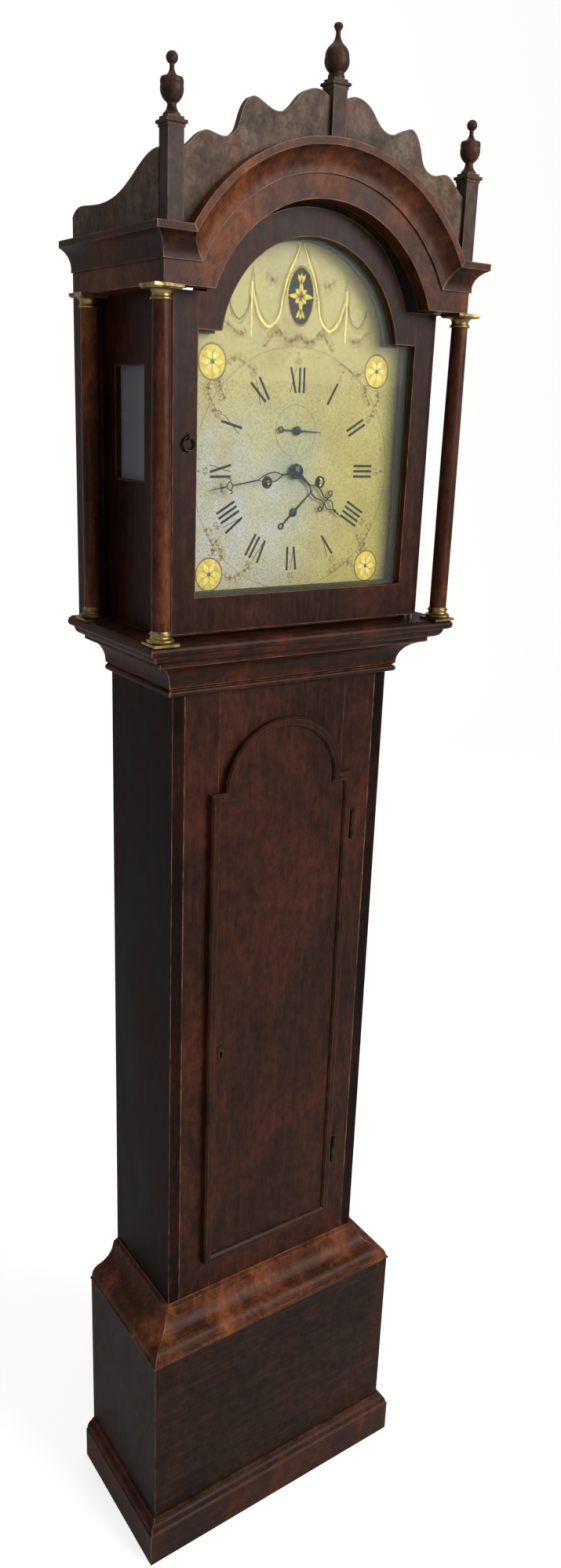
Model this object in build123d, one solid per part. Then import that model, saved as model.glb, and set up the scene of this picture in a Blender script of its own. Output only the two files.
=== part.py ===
# Longcase clock: break-arch hood on four columns, arched trunk door, eight-day striking movement.
# Millimetres, +Z up, +X to the right seen from the front, the front faces -Y.
# The origin is on the floor at the middle of the clock's footprint.
# d is always a distance in front of the wall, so a board is given by its x, d and z.
import os
from math import atan2, cos, degrees, hypot, pi, radians, sin, sqrt

from build123d import *

os.makedirs("parts", exist_ok=True)

# Driving dimensions of the case
trunk_half = 170.0
trunk_depth = 168.5
trunk_board = 18.0
trunk_top = 1405.7
base_half = 216.8
base_depth = 215.4
base_height = 358.8
base_board = 18.0
skirting_out = 14.2
skirting_flat = 55.6
skirting_top = 73.0
cove_top = 417.4
throat_bottom = 1352.3
throat_out = 39.4
hood_sill_out = 62.8
hood_sill_top = 1430.8
backboard_thick = 14.0
backboard_top = 1795.0
wall_screw_radius = 2.5
wall_screw_height = 1783.0

# Driving dimensions of the trunk door
door_half = 114.5
door_bottom = 470.0
door_shoulder = 1216.0
door_arch_centre = 1213.5
door_arch_radius = 94.0
door_lip = 14.0
door_gap = 2.0
keyhole_inset = 22.5
door_lip_thick = 7.0
door_bead_width = 12.5
door_bead_rise = 4.5
trunk_hinge_heights = (587.0, 1134.0)
trunk_lock_height = 826.0

# Driving dimensions of the hood
hood_half = 190.0
hood_board = 14.0
frieze_half = 216.9
frieze_depth = 227.8
frieze_bottom = 1820.0
frieze_board = 20.0
cornice_bottom = 1844.6
cornice_top = 1878.3
cornice_out = 17.4
arch_centre = 1761.0
frieze_arch = 164.0
cornice_arch = 190.0
roof_arch = 204.0
roof_board = 6.0
cheek_thick = 20.0
header_bottom = 1797.0
header_arch = 146.0
column_x = 214.2
front_column_depth = frieze_depth - 9.5
rear_column_depth = 38.0
column_foot_radius = 11.3
column_neck_radius = 10.2
base_brass_height = 17.0
capital_height = 16.0
window_depths = (57.0, 132.0)
window_heights = (1609.0, 1741.0)
pane_thick = 2.0
plinth_x = 205.4
plinth_depth = frieze_depth - 5.8
plinth_width = 19.0
side_plinth_top = 1978.0
centre_plinth_top = 2045.0
side_finial_height = 59.0
centre_finial_height = 55.0
cresting_thick = 9.0

# Driving dimensions of the hood door
hood_door_half = 190.0
hood_door_bottom = 1437.0
hood_door_top = 1818.5
hood_door_front = 200.0
hood_door_thick = 20.0
hood_door_arch = 159.0
eased_radius = 179.8
eased_shift = 31.0
sight_half = 158.0
sight_bottom = 1480.0
sight_shoulder = 1779.5
sight_arch = 128.0
glass_rebate = 5.0
mask_thick = 7.0
mask_back = 172.5
mask_margin = 2.5
door_pivot_radius = 2.5
door_swing_room = 0.8
ring_x = -170.0
ring_height = 1664.0
ring_radius = 7.6
ring_wire = 1.1

# Driving dimensions of the dial and hands
dial_half = 165.0
dial_front = 170.5
dial_thick = 1.8
dial_centre = 1624.3
dial_arch = 138.0
dial_shoulder = 1786.0
seconds_up = 48.6
date_down = 50.3
winding_x = 40.3
winding_down = 13.3
minute_angle = 260.4
hour_angle = 128.0
seconds_angle = 92.0
date_angle = 47.0
minute_length = 130.0
hour_length = 93.5
seconds_length = 36.7
seconds_tail = 24.2
date_length = 40.3
date_tail = 24.5
hand_thick = 1.0
seconds_hand_depth = dial_front + 2.4
hour_hand_depth = dial_front + 3.7
minute_hand_depth = dial_front + 8.1

# Driving dimensions of the movement
plate_half = 64.0
plate_below = 74.0
plate_above = 92.0
plate_thick = 3.0
back_plate = 72.0
front_plate = 135.0
seat_thick = 20.0
seat_depths = (58.0, 149.0)
drum_radius = 25.0
drum_width = 22.5
line_radius = 0.8
pulley_radius = 16.0
weight_radius = 29.0
weight_length = 190.0
weight_top = 1010.0
pulley_above_weight = 36.0
pendulum_depth = 48.0
pendulum_up = 74.6
pendulum_length = 994.0
bob_radius = 52.0
bob_half_thick = 13.0
bell_radius = 48.0
bell_rim = 1736.0
bell_depth = 104.0

# Driving counts of the wheels
great_teeth = 96
strike_great_teeth = 84
centre_teeth = 60
third_teeth = 64
escape_teeth = 30
pin_teeth = 64
hour_teeth = 72
cannon_teeth = 36
minute_leaves = 6
pinion_leaves = 8
strike_pins = 8

# Running clearances
slip = 0.3
bore_play = 0.05

# Arbors and the depths of the wheels between the plates and behind the dial
arbor = 1.5
pivot_radius = 0.8
pivot_end = 0.5
centre_arbor_radius = 2.0
seconds_arbor_radius = 0.9
winding_arbor_radius = 3.5
winding_pivot_radius = 2.4
winding_square = 4.4
post_radius = 1.0
cannon_pipe_radius = 3.0
hour_pipe_radius = 4.8
plate_front = front_plate + plate_thick
plate_back = back_plate + plate_thick
great_level = plate_back + 9.0
great_thick = 3.0
wheel_thick = 2.0
pinion_length = 6.0
escape_level = plate_back + 15.0
third_level = plate_back + 25.0
centre_level = front_plate - 19.0
pin_level = front_plate - 13.0
cannon_level = plate_front + 2.0
cannon_thick = 4.0
hour_level = cannon_level + cannon_thick + 4.0
drum_back = great_level + great_thick + 2.5
drum_middle = drum_back + drum_width / 2

line_out = winding_x + drum_radius + line_radius + 0.1
overall_depth = frieze_depth + cornice_out
rear = overall_depth / 2


# Frames, blocks and outlines

def front_plane(d):
    return Plane(origin=(0, rear - d, 0), x_dir=(1, 0, 0), z_dir=(0, -1, 0))


def side_plane(x):
    return Plane(origin=(x, rear, 0), x_dir=(0, -1, 0), z_dir=(-1, 0, 0))


def block(x0, x1, d0, d1, z0, z1):
    middle = ((x0 + x1) / 2, rear - (d0 + d1) / 2, (z0 + z1) / 2)
    return Pos(*middle) * Box(abs(x1 - x0), abs(d1 - d0), abs(z1 - z0))


def slab(face, d0, d1):
    return extrude(front_plane(d0) * face, d1 - d0)


def disc(x, z, radius, d0, d1):
    return slab(Pos(x, z) * Circle(radius), d0, d1)


def post(x, d, radius, z0, z1):
    return Pos(x, rear - d, z0) * extrude(Circle(radius), z1 - z0)


def turned(profile, x, d, z):
    """Revolve a profile drawn as (radius, height) edges that start and end on the axis."""
    face = make_face(Plane.XZ * (Curve() + list(profile)))
    return Pos(x, rear - d, z) * revolve(face, Axis.Z)


def mirrored(shape):
    return mirror(shape, about=Plane.YZ)


def bow(start, end, rise):
    """An arc from start to end whose middle lies rise to the left of the straight line."""
    run, climb = end[0] - start[0], end[1] - start[1]
    length = hypot(run, climb)
    middle = ((start[0] + end[0]) / 2 - climb / length * rise, (start[1] + end[1]) / 2 + run / length * rise)
    return ThreePointArc(start, middle, end)


def break_arch(half, bottom, shoulder, centre, radius):
    """A rectangle with an arch that rises between two level shoulders."""
    foot = sqrt(radius**2 - (shoulder - centre) ** 2)
    sides = Polyline(
        (-foot, shoulder), (-half, shoulder), (-half, bottom),
        (half, bottom), (half, shoulder), (foot, shoulder)
    )
    return make_face(sides + ThreePointArc((foot, shoulder), (0, centre + radius), (-foot, shoulder)))


def rectangle(x0, x1, z0, z1):
    return Pos((x0 + x1) / 2, (z0 + z1) / 2) * Rectangle(abs(x1 - x0), abs(z1 - z0))


def solids_of(*shapes):
    found = []
    for shape in shapes:
        found.extend(shape.solids())
    return found


def save(node, *shapes):
    pieces = solids_of(*shapes)
    whole = pieces[0] if len(pieces) == 1 else Compound(children=pieces)
    export_step(whole, f"parts/{node}.step")


# Mitred mouldings

def moulding(profile, start, end, half, depth, back=0.0):
    """A moulding round the front and both sides, as three mitred lengths.

    The profile's edges run upwards from start to end as (projection, height).
    """
    edges = Curve() + list(profile)

    def section(offset):
        closing = Polyline(
            (end[0] + offset, end[1]), (0, end[1]), (0, start[1]), (start[0] + offset, start[1])
        )
        return make_face(Pos(offset, 0) * edges + closing)

    reach = max(edges.bounding_box().max.X, 0) + 1
    wide = half + reach
    across = extrude(side_plane(wide) * section(depth), 2 * wide)
    right = section(half)
    along = extrude(front_plane(back) * (right + mirror(right, about=Plane.YZ)), depth + reach - back)
    ring = across & along
    core = block(-half, half, back - 1, depth, start[1] - 1, end[1] + 1)
    ring = ring - core
    corners = ((-half, depth), (half, depth), (half + reach, depth + reach), (-half - reach, depth + reach))
    wedge_face = make_face(Polyline(*[(x, rear - d) for x, d in corners], close=True))
    wedge = Pos(0, 0, start[1] - 1) * extrude(wedge_face, end[1] - start[1] + 2)
    return solids_of(ring & wedge, ring - wedge)


# Trunk

inner_half = trunk_half - trunk_board
front_inside = trunk_depth - trunk_board
seat_top = dial_centre - plate_below
seat_bottom = seat_top - seat_thick
opening_half = door_half - door_lip
opening_bottom = door_bottom + door_lip
opening_shoulder = door_shoulder - door_lip
opening_radius = door_arch_radius - door_lip


def backboard():
    board = block(-inner_half, inner_half, 0, backboard_thick, base_board, backboard_top)
    return board - disc(0, wall_screw_height, wall_screw_radius, -1, backboard_thick + 1)


def trunk_sides():
    side = block(inner_half, trunk_half, 0, trunk_depth, base_height - 40, trunk_top)
    cheek = block(inner_half, trunk_half - 4, 20, seat_depths[1], trunk_top, seat_bottom)
    right = side + cheek
    return right, mirrored(right)


def trunk_front(opening):
    """The frame round the trunk door: two stiles between an arched top rail and a bottom rail."""
    frame = block(-inner_half, inner_half, front_inside, trunk_depth, base_height - 40, trunk_top) - opening
    stiles = frame & (
        block(opening_half, inner_half, 0, 2 * trunk_depth, base_height - 40, trunk_top)
        + block(-inner_half, -opening_half, 0, 2 * trunk_depth, base_height - 40, trunk_top)
    )
    return stiles, frame - stiles


door_opening = slab(
    break_arch(opening_half, opening_bottom, opening_shoulder, door_arch_centre, opening_radius),
    front_inside - 1,
    trunk_depth + 1,
)
trunk_stiles, trunk_rails = trunk_front(door_opening)
hinge_depth = trunk_depth + door_lip_thick + 3.0
knuckle_radius = 3.0
hinge_x = door_half + knuckle_radius + slip
hinge_pin_radius = 1.4
leaf_height = 42.0
leaf_width = 12.0
leaf_thick = 1.2
knuckle_height = leaf_height / 3


def trunk_hinges():
    """Two butt hinges: the case keeps the outer knuckles and the pin, the door the middle knuckle."""
    fixed, swinging = [], []
    for z in trunk_hinge_heights:
        low, high = z - leaf_height / 2, z + leaf_height / 2
        leaf = block(hinge_x, hinge_x + leaf_width, trunk_depth, trunk_depth + leaf_thick, low, high)
        web = block(hinge_x - leaf_thick / 2, hinge_x + leaf_thick / 2, trunk_depth, hinge_depth, low, high)
        barrel = post(hinge_x, hinge_depth, knuckle_radius, low, high)
        gap_low = z - knuckle_height / 2 - slip
        gap_high = z + knuckle_height / 2 + slip
        gap = block(hinge_x - 5, hinge_x + 5, trunk_depth + leaf_thick, hinge_depth + 5, gap_low, gap_high)
        pin = post(hinge_x, hinge_depth, hinge_pin_radius, low, high)
        fixed.append(leaf + web + barrel - gap + pin)
        middle = post(hinge_x, hinge_depth, knuckle_radius, z - knuckle_height / 2, z + knuckle_height / 2)
        tongue = block(
            door_half,
            hinge_x,
            trunk_depth + door_lip_thick - leaf_thick,
            trunk_depth + door_lip_thick + leaf_thick,
            z - knuckle_height / 2,
            z + knuckle_height / 2,
        )
        hole = post(hinge_x, hinge_depth, hinge_pin_radius + bore_play, z - leaf_height, z + leaf_height)
        swinging.append(middle + tongue - hole)
    return fixed, swinging


case_hinges, door_hinges = trunk_hinges()

# Trunk door
door_back = front_inside + 2.0
door_face = trunk_depth + 0.3
door_front = door_face + door_lip_thick
lip_outline = break_arch(door_half, door_bottom, door_shoulder, door_arch_centre, door_arch_radius)
plug_outline = break_arch(
    opening_half - door_gap,
    opening_bottom + door_gap,
    opening_shoulder - door_gap,
    door_arch_centre,
    opening_radius - door_gap,
)
bead_outline = break_arch(
    door_half - door_bead_width,
    door_bottom + door_bead_width,
    door_shoulder - door_bead_width,
    door_arch_centre,
    door_arch_radius - door_bead_width,
)
lock_x = keyhole_inset - door_half
lock_size = (44.0, 62.0, 12.0)
lock_edge = 4.5
bolt_size = (24.0, 14.0, 5.0)
bolt_travel = 12.0
bolt_back = door_back - 8.5


def trunk_door_panel():
    panel = slab(plug_outline, door_back, door_face) + slab(lip_outline, door_face, door_front)
    keyhole = disc(lock_x, trunk_lock_height, 2.2, door_back - 1, door_front + 1)
    slot = block(
        lock_x - 1.2, lock_x + 1.2, door_back - 1, door_front + 1, trunk_lock_height - 9, trunk_lock_height
    )
    return panel - keyhole - slot


def trunk_door_bead():
    ring = slab(lip_outline - bead_outline, door_front, door_front + door_bead_rise)
    crest = [
        edge for edge in ring.edges() if abs(edge.center().Y - (rear - door_front - door_bead_rise)) < 0.01
    ]
    return chamfer(crest, door_bead_rise * 0.55)


def trunk_lock():
    """A box lock screwed to the back of the door, hollow where its bolt runs."""
    x0 = lock_x - lock_edge
    width, height, thick = lock_size
    length, bolt_height, bolt_thick = bolt_size
    low, high = trunk_lock_height - bolt_height / 2, trunk_lock_height + bolt_height / 2
    body = block(
        x0, x0 + width, door_back - thick, door_back,
        trunk_lock_height - height / 2, trunk_lock_height + height / 2
    )
    channel = block(
        x0 - 1, x0 + 1 + length + 2, bolt_back - slip, bolt_back + bolt_thick + slip, low - slip, high + slip
    )
    bolt = block(x0 + 1, x0 + 1 + length, bolt_back, bolt_back + bolt_thick, low, high)
    return body - channel, bolt


def keyhole_plate(x, z, front, half_width, half_height, thick):
    shield = Pos(x, z) * Ellipse(half_width, half_height)
    hole = Pos(x, z) * Circle(2.0) + rectangle(x - 1.0, x + 1.0, z - 8.0, z)
    return slab(shield - hole, front, front + thick)


# Base

def base_panels():
    front = block(-base_half, base_half, base_depth - base_board, base_depth, 0, base_height)
    side = block(base_half - base_board, base_half, 0, base_depth - base_board, 0, base_height)
    floor = block(
        base_board - base_half, base_half - base_board,
        backboard_thick, base_depth - base_board, 20, 20 + base_board
    )
    back = block(base_board - base_half, base_half - base_board, 0, backboard_thick, 0, base_board)
    wings = block(inner_half, base_half - base_board, 0, backboard_thick, base_board, base_height - 40)
    return front, side, mirrored(side), floor, back, wings, mirrored(wings)


def skirting():
    start, end = (skirting_out, 0.0), (0.0, skirting_top)
    lip = skirting_flat + 2.4
    profile = [
        Line(start, (skirting_out, skirting_flat)),
        Line((skirting_out, skirting_flat), (skirting_out - 2.2, lip)),
        bow((skirting_out - 2.2, lip), (4.4, skirting_top - 3.4), -2.4),
        Line((4.4, skirting_top - 3.4), (2.6, skirting_top)),
        Line((2.6, skirting_top), end),
    ]
    return moulding(profile, start, end, base_half, base_depth)


def base_cove():
    """The big moulding that narrows the base to the trunk: fillet, hollow and rounded nose."""
    out = base_half - trunk_half
    bead = 0.8
    waist = 0.68 * out
    top_fillet = 6.8
    start, end = (out + bead, base_height), (0.0, cove_top)
    profile = [
        bow(start, (out + bead, base_height + 4.4), -1.2),
        Line((out + bead, base_height + 4.4), (out - 1.0, base_height + 5.2)),
        bow((out - 1.0, base_height + 5.2), (waist, base_height + 22.5), -4.2),
        bow((waist, base_height + 22.5), (top_fillet + 1.7, cove_top - 9.5), 5.2),
        Line((top_fillet + 1.7, cove_top - 9.5), (top_fillet, cove_top - 3.0)),
        Line((top_fillet, cove_top - 3.0), end),
    ]
    return moulding(profile, start, end, trunk_half, trunk_depth)


def throat():
    """Bead and large hollow that carry the hood."""
    bead_top = throat_bottom + 13.1
    start, end = (0.0, throat_bottom), (0.0, trunk_top)
    profile = [
        Line(start, (5.6, throat_bottom + 1.0)),
        bow((5.6, throat_bottom + 1.0), (6.2, bead_top - 3.2), -4.4),
        Line((6.2, bead_top - 3.2), (9.8, bead_top)),
        bow((9.8, bead_top), (throat_out - 4.0, trunk_top - 8.2), 7.5),
        Line((throat_out - 4.0, trunk_top - 8.2), (throat_out, trunk_top - 6.6)),
        Line((throat_out, trunk_top - 6.6), (throat_out, trunk_top)),
        Line((throat_out, trunk_top), end),
    ]
    return moulding(profile, start, end, trunk_half, trunk_depth)


# Hood

side_inside = hood_half - hood_board
sill_inside = trunk_half + 3.0
pivot_x = hood_door_half - 4.0
pivot_depth = hood_door_front - 5.0
pivot_depth_in_wood = 12.0
door_back_depth = hood_door_front - hood_door_thick
column_foot = hood_sill_top + base_brass_height
column_neck = frieze_bottom - capital_height
columns = [(sign * column_x, d) for sign in (-1, 1) for d in (front_column_depth, rear_column_depth)]


def hood_sill():
    """The moulded frame that rides on the throat, open at the back, with the door's rebate strip."""
    low = trunk_top + slip
    start, end = (44.0, low), (0.0, hood_sill_top)
    nose = hood_sill_top - 12.4
    nose_bulge = 4.0
    profile = [
        bow(start, (54.0, nose - 1.6), -2.6),
        Line((54.0, nose - 1.6), (hood_sill_out - nose_bulge, nose)),
        bow(
            (hood_sill_out - nose_bulge, nose), (hood_sill_out - nose_bulge, hood_sill_top - 1.2), -nose_bulge
        ),
        Line(
            (hood_sill_out - nose_bulge, hood_sill_top - 1.2),
            (hood_sill_out - nose_bulge - 2.0, hood_sill_top),
        ),
        Line((hood_sill_out - nose_bulge - 2.0, hood_sill_top), end),
    ]
    rails = moulding(profile, start, end, trunk_half, trunk_depth)
    clear = block(-sill_inside, sill_inside, -1, trunk_depth + 3.0, low - 1, hood_sill_top + 1)
    pivot = post(
        pivot_x, pivot_depth, door_pivot_radius, hood_sill_top - pivot_depth_in_wood, hood_sill_top + 1
    )
    rails = [rail - clear - pivot for rail in rails]
    strip = block(
        -side_inside, side_inside, mask_back, door_back_depth - slip, hood_sill_top, hood_door_bottom + 8
    )
    return rails + [strip]


def hood_sides():
    side = block(
        side_inside, hood_half, cheek_thick, door_back_depth - door_swing_room, hood_sill_top, cornice_top
    )
    hole = block(
        side_inside - 1, hood_half + 1, window_depths[0],
        window_depths[1], window_heights[0], window_heights[1]
    )
    seat = block(
        side_inside + 4,
        side_inside + 4 + pane_thick,
        window_depths[0] - glass_rebate,
        window_depths[1] + glass_rebate,
        window_heights[0] - glass_rebate,
        window_heights[1] + glass_rebate,
    )
    side = side - hole - seat
    cheek = block(side_inside, frieze_half, 0, cheek_thick, hood_sill_top, frieze_bottom)
    cheek = cheek + block(side_inside, hood_half, 0, cheek_thick, frieze_bottom, cornice_top)
    return side, mirrored(side), cheek, mirrored(cheek), seat, mirrored(seat)


right_side, left_side, right_cheek, left_cheek, right_pane, left_pane = hood_sides()
frieze_back = frieze_depth - frieze_board


def frieze():
    """The front frieze with its arch, and a thick frieze block along each side."""
    foot = sqrt(roof_arch**2 - (cornice_top - arch_centre) ** 2)
    arch_foot = sqrt(frieze_arch**2 - (frieze_bottom - arch_centre) ** 2)
    outline = Polyline(
        (-foot, cornice_top),
        (-frieze_half, cornice_top),
        (-frieze_half, frieze_bottom),
        (-arch_foot, frieze_bottom),
    )
    outline = outline + ThreePointArc(
        (-arch_foot, frieze_bottom), (0, arch_centre + frieze_arch), (arch_foot, frieze_bottom)
    )
    outline = outline + Polyline(
        (arch_foot, frieze_bottom), (frieze_half, frieze_bottom),
        (frieze_half, cornice_top), (foot, cornice_top)
    )
    outline = outline + ThreePointArc((foot, cornice_top), (0, arch_centre + roof_arch), (-foot, cornice_top))
    front = slab(make_face(outline), frieze_back, frieze_depth)
    front = front - post(
        pivot_x, pivot_depth, door_pivot_radius, frieze_bottom - 1, frieze_bottom + pivot_depth_in_wood
    )
    side = block(hood_half, frieze_half, 0, frieze_back, frieze_bottom, cornice_top)
    pivot_pad = block(side_inside, hood_half, door_back_depth, frieze_back, frieze_bottom, cornice_top)
    pivot_pad = pivot_pad - post(
        pivot_x, pivot_depth, door_pivot_radius, frieze_bottom - 1, frieze_bottom + pivot_depth_in_wood
    )
    return front, side, mirrored(side), pivot_pad, mirrored(pivot_pad)


def cornice_profile():
    """Hollow under a flat rim, as (projection, rise) from the frieze's face."""
    rise = cornice_top - cornice_bottom
    rim = rise - 7.8
    start, end = (0.0, 0.0), (0.0, rise)
    edges = [
        Line(start, (2.5, 0.0)),
        bow((2.5, 0.0), (cornice_out - 2.6, rim - 1.2), 4.6),
        Line((cornice_out - 2.6, rim - 1.2), (cornice_out, rim)),
        Line((cornice_out, rim), (cornice_out, rise)),
        Line((cornice_out, rise), end),
    ]
    return edges, start, end


def cornice():
    """Straight cornice along the sides and round the corners, mitred into the arch moulding."""
    edges, start, end = cornice_profile()
    lifted = [Pos(0, cornice_bottom) * edge for edge in edges]
    lengths = moulding(lifted, (0.0, cornice_bottom), (0.0, cornice_top), frieze_half, frieze_depth)
    rise = cornice_top - cornice_bottom
    low = sqrt(cornice_arch**2 - (cornice_bottom - arch_centre) ** 2)
    high = sqrt((cornice_arch + rise) ** 2 - (cornice_top - arch_centre) ** 2)
    slope = (high - low) / rise
    below, above = cornice_bottom - 8, cornice_top + 8
    span = Polyline(
        (-low + 8 * slope, below),
        (low - 8 * slope, below),
        (high + 8 * slope, above),
        (-high - 8 * slope, above),
        close=True,
    )
    gap = slab(make_face(span), frieze_depth - 1, overall_depth + 5)
    returns = [piece - gap for piece in lengths]
    section = Curve() + edges + Line(end, start)
    ring_plane = Plane(origin=(0, rear - frieze_depth, arch_centre), x_dir=(0, -1, 0), z_dir=(-1, 0, 0))
    ring = revolve(
        ring_plane * (Pos(0, cornice_arch) * make_face(section)),
        Axis((0, 0, arch_centre), (0, 1, 0)),
    )
    crown = Polyline(
        (-low + 8 * slope, below),
        (low - 8 * slope, below),
        (high + 8 * slope, above),
        (high + 8 * slope, above + 200),
        (-high - 8 * slope, above + 200),
        (-high - 8 * slope, above),
        close=True,
    )
    arch = ring & slab(make_face(crown), frieze_depth - 1, overall_depth + 5)
    return returns, arch


def hood_roof():
    """Bent roof boards behind the arch, flat boards at the sides and an arched header at the back."""
    low_foot = sqrt(roof_arch**2 - (cornice_top - arch_centre) ** 2)
    barrel = make_face(
        Polyline((-roof_arch, arch_centre), (roof_arch, arch_centre))
        + ThreePointArc((roof_arch, arch_centre), (0, arch_centre + roof_arch), (-roof_arch, arch_centre))
    )
    hollow = Pos(0, arch_centre) * Circle(roof_arch - roof_board)
    keep = rectangle(-side_inside, side_inside, cornice_top - 12, arch_centre + roof_arch + 1)
    vault = slab((barrel - hollow) & keep, 0, frieze_back)
    flat_in = sqrt((roof_arch - roof_board) ** 2 - (cornice_top - 12 - arch_centre) ** 2)
    flat = slab(rectangle(flat_in, side_inside, cornice_top - 12, cornice_top) - barrel, 0, frieze_back)
    inner = Pos(0, arch_centre) * Circle(roof_arch - roof_board)
    header_face = rectangle(-side_inside, side_inside, header_bottom, cornice_top - 12)
    header_face = header_face + (inner & keep)
    header_face = header_face - Pos(0, arch_centre) * Circle(header_arch)
    header_face = header_face & rectangle(-side_inside, side_inside, header_bottom, arch_centre + roof_arch)
    header = slab(header_face, 0, 12)
    return vault, flat, mirrored(flat), header


def dial_mask():
    outside = break_arch(side_inside, hood_sill_top, frieze_bottom, arch_centre, header_arch + 16)
    inside = break_arch(
        sight_half - mask_margin,
        sight_bottom + mask_margin,
        sight_shoulder - mask_margin,
        arch_centre,
        sight_arch - mask_margin,
    )
    board = slab(outside - inside, mask_back, mask_back + mask_thick)
    strip = block(
        -side_inside, side_inside, mask_back - 1, door_back_depth, hood_sill_top - 1, hood_door_bottom + 8
    )
    return board - strip


def front_cresting():
    """Scrolled board along the top of the arch: three rounded humps each side of the middle."""
    edge = plinth_x - plinth_width / 2
    foot_z = cornice_top
    humps = [
        (edge, foot_z + 71.7),
        (edge - 11.2, foot_z + 80.7),
        (edge - 29.2, foot_z + 93.2),
        (edge - 48.2, foot_z + 90.2),
        (edge - 64.2, foot_z + 96.7),
        (edge - 71.7, foot_z + 114.7),
        (edge - 86.2, foot_z + 133.2),
        (edge - 103.2, foot_z + 127.7),
        (edge - 119.2, foot_z + 123.7),
        (edge - 134.2, foot_z + 130.7),
        (edge - 147.2, foot_z + 144.7),
        (edge - 163.2, foot_z + 152.7),
        (plinth_width / 2, foot_z + 146.7),
    ]
    outer = roof_arch
    foot = sqrt(outer**2 - (cornice_top - arch_centre) ** 2)
    angle = atan2(cornice_top - arch_centre, foot)
    inner_x = plinth_width / 2
    inner_z = arch_centre + sqrt(outer**2 - inner_x**2)
    middle = (angle + atan2(inner_z - arch_centre, inner_x)) / 2
    arc = ThreePointArc(
        (inner_x, inner_z),
        (outer * cos(middle), arch_centre + outer * sin(middle)),
        (foot, cornice_top),
    )
    wing = make_face(
        Spline(*humps)
        + Line(humps[-1], (inner_x, inner_z))
        + arc
        + Polyline((foot, cornice_top), (edge, cornice_top), humps[0])
    )
    right = slab(wing, plinth_depth - cresting_thick / 2, plinth_depth + cresting_thick / 2)
    return right, mirrored(right)


def side_cresting():
    """Swept board along each side of the roof, low at the back and rising to the corner plinth."""
    front = plinth_depth - plinth_width / 2
    sweep_points = [
        (0.0, cornice_top + 27.7),
        (12.0, cornice_top + 35.2),
        (40.0, cornice_top + 36.2),
        (78.0, cornice_top + 34.2),
        (front - 92.8, cornice_top + 39.7),
        (front - 59.8, cornice_top + 52.7),
        (front - 31.8, cornice_top + 66.2),
        (front, cornice_top + 72.2),
    ]
    face = make_face(
        Spline(*sweep_points)
        + Polyline(sweep_points[-1], (front, cornice_top), (0.0, cornice_top), sweep_points[0])
    )
    outer = frieze_half - 1.0
    board = extrude(side_plane(outer) * face, cresting_thick)
    return board, mirrored(board)


def plinth(x, bottom, top):
    """Square plinth with a moulded cap for a finial."""
    half = plinth_width / 2
    near, far = plinth_depth - half, plinth_depth + half
    shaft = block(x - half, x + half, near, far, bottom, top - 8)
    neck = block(x - half - 0.9, x + half + 0.9, near - 0.9, far + 0.9, top - 10, top - 7)
    cap = block(x - half - 2.9, x + half + 2.9, near - 2.9, far + 2.9, top - 7, top - 3)
    cap = fillet(cap.edges().filter_by(GeomType.LINE).filter_by(lambda e: abs(e.tangent_at(0).Z) < 0.1), 1.4)
    step = block(x - half, x + half, near, far, top - 3, top)
    return shaft + neck + cap + step


def centre_plinth():
    """The middle plinth stands on the arch moulding, with a foot behind it on the frieze board."""
    half = plinth_width / 2
    rest = arch_centre + cornice_arch + cornice_top - cornice_bottom + slip
    foot = block(-half, half, plinth_depth - half, frieze_depth, arch_centre + roof_arch + slip, rest)
    return plinth(0, rest, centre_plinth_top) + foot


def side_finial():
    """Turned urn on a waisted foot with a ball on a thin neck, as (radius, height)."""
    ball = 6.2
    neck = 2.6
    crown = 0.8
    middle = side_finial_height - ball
    low = middle - sqrt(ball**2 - neck**2)
    top = middle + sqrt(ball**2 - crown**2)
    return [
        Line((0, 0), (9.2, 0)),
        Line((9.2, 0), (9.2, 2.2)),
        bow((9.2, 2.2), (4.8, 11.5), 1.3),
        Line((4.8, 11.5), (5.6, 12.6)),
        bow((5.6, 12.6), (11.8, 28.5), -2.6),
        bow((11.8, 28.5), (11.2, 35.0), -0.6),
        Line((11.2, 35.0), (6.2, 36.6)),
        bow((6.2, 36.6), (neck, low - 1.0), 1.4),
        Line((neck, low - 1.0), (neck, low)),
        ThreePointArc((neck, low), (ball, middle), (crown, top)),
        Line((crown, top), (0, top)),
        Line((0, top), (0, 0)),
    ]


def centre_finial():
    """Turned teardrop on a round foot, drawn in to a thin neck under a small knob."""
    top = centre_finial_height
    return [
        Line((0, 0), (9.4, 0)),
        Line((9.4, 0), (9.4, 3.6)),
        bow((9.4, 3.6), (8.6, 7.0), 0.5),
        bow((8.6, 7.0), (13.4, 21.5), -2.4),
        bow((13.4, 21.5), (8.4, 32.5), -1.4),
        bow((8.4, 32.5), (2.7, top - 8.5), 2.0),
        Line((2.7, top - 8.5), (4.4, top - 5.6)),
        bow((4.4, top - 5.6), (4.2, top - 1.6), -0.7),
        bow((4.2, top - 1.6), (0.8, top), -0.5),
        Line((0.8, top), (0, top)),
        Line((0, top), (0, 0)),
    ]


def column_shaft():
    height = column_neck - column_foot
    return [
        Line((0, 0), (column_foot_radius, 0)),
        bow((column_foot_radius, 0), (column_neck_radius, height), -0.5),
        Line((column_neck_radius, height), (0, height)),
        Line((0, height), (0, 0)),
    ]


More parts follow.
